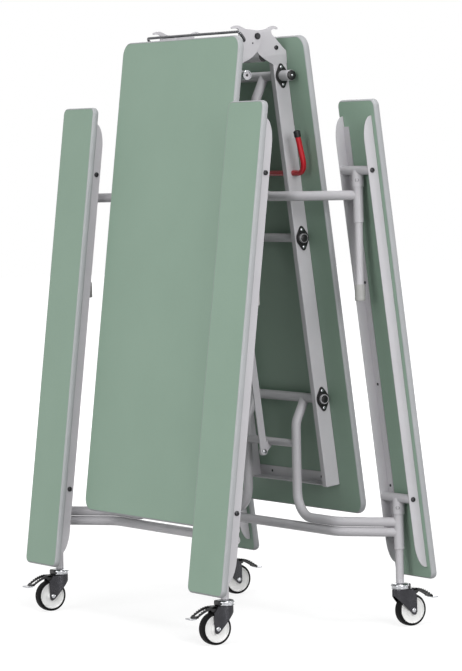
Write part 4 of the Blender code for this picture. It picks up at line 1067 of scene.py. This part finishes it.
def pedalShape():
    # two arched arms with an open slot between them, joined at the root and at the toe
    bars = []
    for way in (-1, 1):
        low, high = sorted((way * pedal["armIn"], way * pedal["armOut"]))
        bars.append(plate(pedal["outline"], low, high, rim=0.0008))
    for (x0, x1), (z0, z1) in ((pedal["root"], pedal["rootZ"]), (pedal["bar"], pedal["barZ"])):
        bars.append(block((x0, -pedal["armOut"], z0), (x1, pedal["armOut"], z1), rim=0.001))
    return together(*bars)


def treadShape():
    # ribs across the tops of both arms, along their arch
    ribs = []
    start, run = pedal["root"][0], pedal["tip"][0] - pedal["root"][0]
    fall = pedal["tip"][1] - pedal["crest"]
    for count in range(pedal["ribs"]):
        share = pedal["ribsFrom"] + pedal["ribsOver"] * count / (pedal["ribs"] - 1)
        x, z = start + run * share, pedal["crest"] + fall * share ** pedal["arch"]
        slope = math.atan2(-fall * pedal["arch"] * share ** (pedal["arch"] - 1), run)
        for way in (-1, 1):
            low, high = sorted((way * (pedal["armIn"] - 0.0004), way * (pedal["armOut"] + 0.0002)))
            rib = block((-pedal["rib"], low, pedal["ribZ"][0]), (pedal["rib"], high, pedal["ribZ"][1]), rim=0.0005,
                        segments=2)
            ribs.append(moved(rib, Matrix.Translation((x, 0, z)) @ Matrix.Rotation(slope, 4, "Y")))
    return together(*ribs)


def toeShape():
    return slab((pedal["toe"][0], -pedal["toeHalf"]), (pedal["toe"][1], pedal["toeHalf"]), *pedal["toeZ"],
                pedal["toeCorner"], rim=0.0012)


# piece, its shape and finish, the joint it is placed by, the body it rides and the node it stands for
# the fork's dark chrome is a painted dark reflection
castorPieces = (("castorFork", forkShape, "fork_chrome", "swivel", "fork", "fork"),
                ("castorHead", forkHead, "bright_zinc", "swivel", "fork", None),
                ("brakeHousing", housingShape, "black_plastic", "swivel", "fork", None),
                ("castorAxle", axleShape, "chrome_rod", "swivel", "fork", None),
                ("castorHub", hubShape, "hub_grey", "wheel", "wheel", "hub"),
                ("castorTyre", tyreShape, "tyre_black", "wheel", "wheel", "tyre"),
                ("castorPedal", pedalShape, "black_plastic", "brake", "pedal", "pedal"),
                ("pedalTread", treadShape, "dark_bolt", "brake", "pedal", None),
                ("pedalToe", toeShape, "bright_zinc", "brake", "pedal", None))

for side in outward:
    for face in fore:
        label = f"{face}_{side}"
        for name, makeShape, finish, joint, body, node in castorPieces:
            place = upright(f"castor_{label}_{joint}", side)
            nodes = [f"castor_{node}_{label}"] if node else ()
            addPiece(f"{name}_{label}", makeShape(), place, finish, f"castor_{body}_{label}", nodes)
print("castors done")


# Floor, light and camera

studio = {"floorSize": 60.0, "floorTone": 0.30, "glowNear": 0.76, "glowFar": 1.0, "glowFrom": 1.2, "glowTo": 6.0,
          "ambient": 0.50, "aim": (0.0, 0.0, 0.9)}
lamps = {"keyLamp": {"spot": (-9.3, -2.7, 3.6), "size": 8.0, "power": 490.0},
         "sideLamp": {"spot": (6.5, -7.0, 0.42), "size": 0.8, "power": 70.0},
         "frontLamp": {"spot": (-1.3, -9.0, 3.2), "size": 4.0, "power": 380.0},
         "topLamp": {"spot": (-0.5, -4.0, 10.0), "size": 4.0, "power": 330.0},
         "backLamp": {"spot": (7.0, 7.5, 5.0), "size": 6.0, "power": 360.0}}
eye = {"spot": (-5.8507, -10.0815, 1.4822), "bearing": 30.295, "pitch": 2.859, "roll": 1.24, "lens": 197.27,
       "sensor": 36.0, "farClip": 100.0}


def seenMask(tree):
    # 1 for what the camera sees directly, in a mirror finish or through glass
    path = addNode(tree, "ShaderNodeLightPath").outputs
    total = path["Is Camera Ray"]
    for ray in ("Is Glossy Ray", "Is Transmission Ray"):
        total = addNode(tree, "ShaderNodeMath", {0: total, 1: path[ray]}, operation="MAXIMUM").outputs["Value"]
    return total


def makeFloor():
    bm = bmesh.new()
    bmesh.ops.create_grid(bm, x_segments=1, y_segments=1, size=studio["floorSize"] / 2)
    mesh = bpy.data.meshes.new("studioFloor")
    bm.to_mesh(mesh)
    bm.free()
    floor = bpy.data.objects.new("studioFloor", mesh)
    scene.collection.objects.link(floor)
    cover = bpy.data.materials.new("paleFloor")
    cover.use_nodes = True
    tree = cover.node_tree
    tree.nodes.clear()
    matte = addNode(tree, "ShaderNodeBsdfDiffuse", {"Color": (*(studio["floorTone"],) * 3, 1.0)})

    # the glow that makes the floor white grows away from the object, so that no horizon shows
    spot = addNode(tree, "ShaderNodeTexCoord").outputs["Object"]
    away = addNode(tree, "ShaderNodeVectorMath", {0: spot}, operation="LENGTH")
    level = addNode(tree, "ShaderNodeMapRange",
                    {"Value": away.outputs["Value"], "From Min": studio["glowFrom"], "From Max": studio["glowTo"],
                     "To Min": studio["glowNear"], "To Max": studio["glowFar"]}, interpolation_type="SMOOTHSTEP")
    masked = addNode(tree, "ShaderNodeMath", {0: seenMask(tree), 1: level.outputs["Result"]}, operation="MULTIPLY")
    glow = addNode(tree, "ShaderNodeEmission", {"Strength": masked.outputs["Value"]})
    both = addNode(tree, "ShaderNodeAddShader", {0: matte.outputs["BSDF"], 1: glow.outputs["Emission"]})
    addNode(tree, "ShaderNodeOutputMaterial", {"Surface": both.outputs["Shader"]})
    mesh.materials.append(cover)


def makeWorld():
    world = bpy.data.worlds.new("studioWorld")
    scene.world = world
    world.use_nodes = True
    tree = world.node_tree
    level = addNode(tree, "ShaderNodeMapRange",
                    {"Value": seenMask(tree), "To Min": studio["ambient"], "To Max": 1.0})
    fillInputs(tree, tree.nodes["Background"], {"Color": (1.0, 1.0, 1.0, 1.0), "Strength": level.outputs["Result"]})


def makeLamp(name, spot, size, power):
    lamp = bpy.data.lights.new(name, "AREA")
    lamp.shape = "DISK"
    lamp.size = size
    lamp.energy = power
    item = bpy.data.objects.new(name, lamp)
    scene.collection.objects.link(item)
    item.location = spot
    item.rotation_euler = (Vector(studio["aim"]) - Vector(spot)).to_track_quat("-Z", "Y").to_euler()


def makeCamera():
    lensData = bpy.data.cameras.new("photoCamera")
    lensData.sensor_fit = "VERTICAL"
    lensData.sensor_height = lensData.sensor_width = eye["sensor"]
    lensData.lens = eye["lens"]
    lensData.clip_end = eye["farClip"]
    camera = bpy.data.objects.new("photoCamera", lensData)
    scene.collection.objects.link(camera)
    bearingTurn, pitch, roll = (math.radians(eye[key]) for key in ("bearing", "pitch", "roll"))
    ahead = Vector((math.sin(bearingTurn) * math.cos(pitch), math.cos(bearingTurn) * math.cos(pitch),
                    -math.sin(pitch)))
    across = Vector((math.cos(bearingTurn), -math.sin(bearingTurn), 0.0))
    above = across.cross(ahead)
    axisX = across * math.cos(roll) - above * math.sin(roll)
    axisY = across * math.sin(roll) + above * math.cos(roll)
    turn = Matrix((axisX, axisY, -ahead)).transposed().to_4x4()
    camera.matrix_world = Matrix.Translation(eye["spot"]) @ turn
    scene.camera = camera


makeFloor()
makeWorld()
for name, lamp in lamps.items():
    makeLamp(name, **lamp)
makeCamera()
print("studio done")
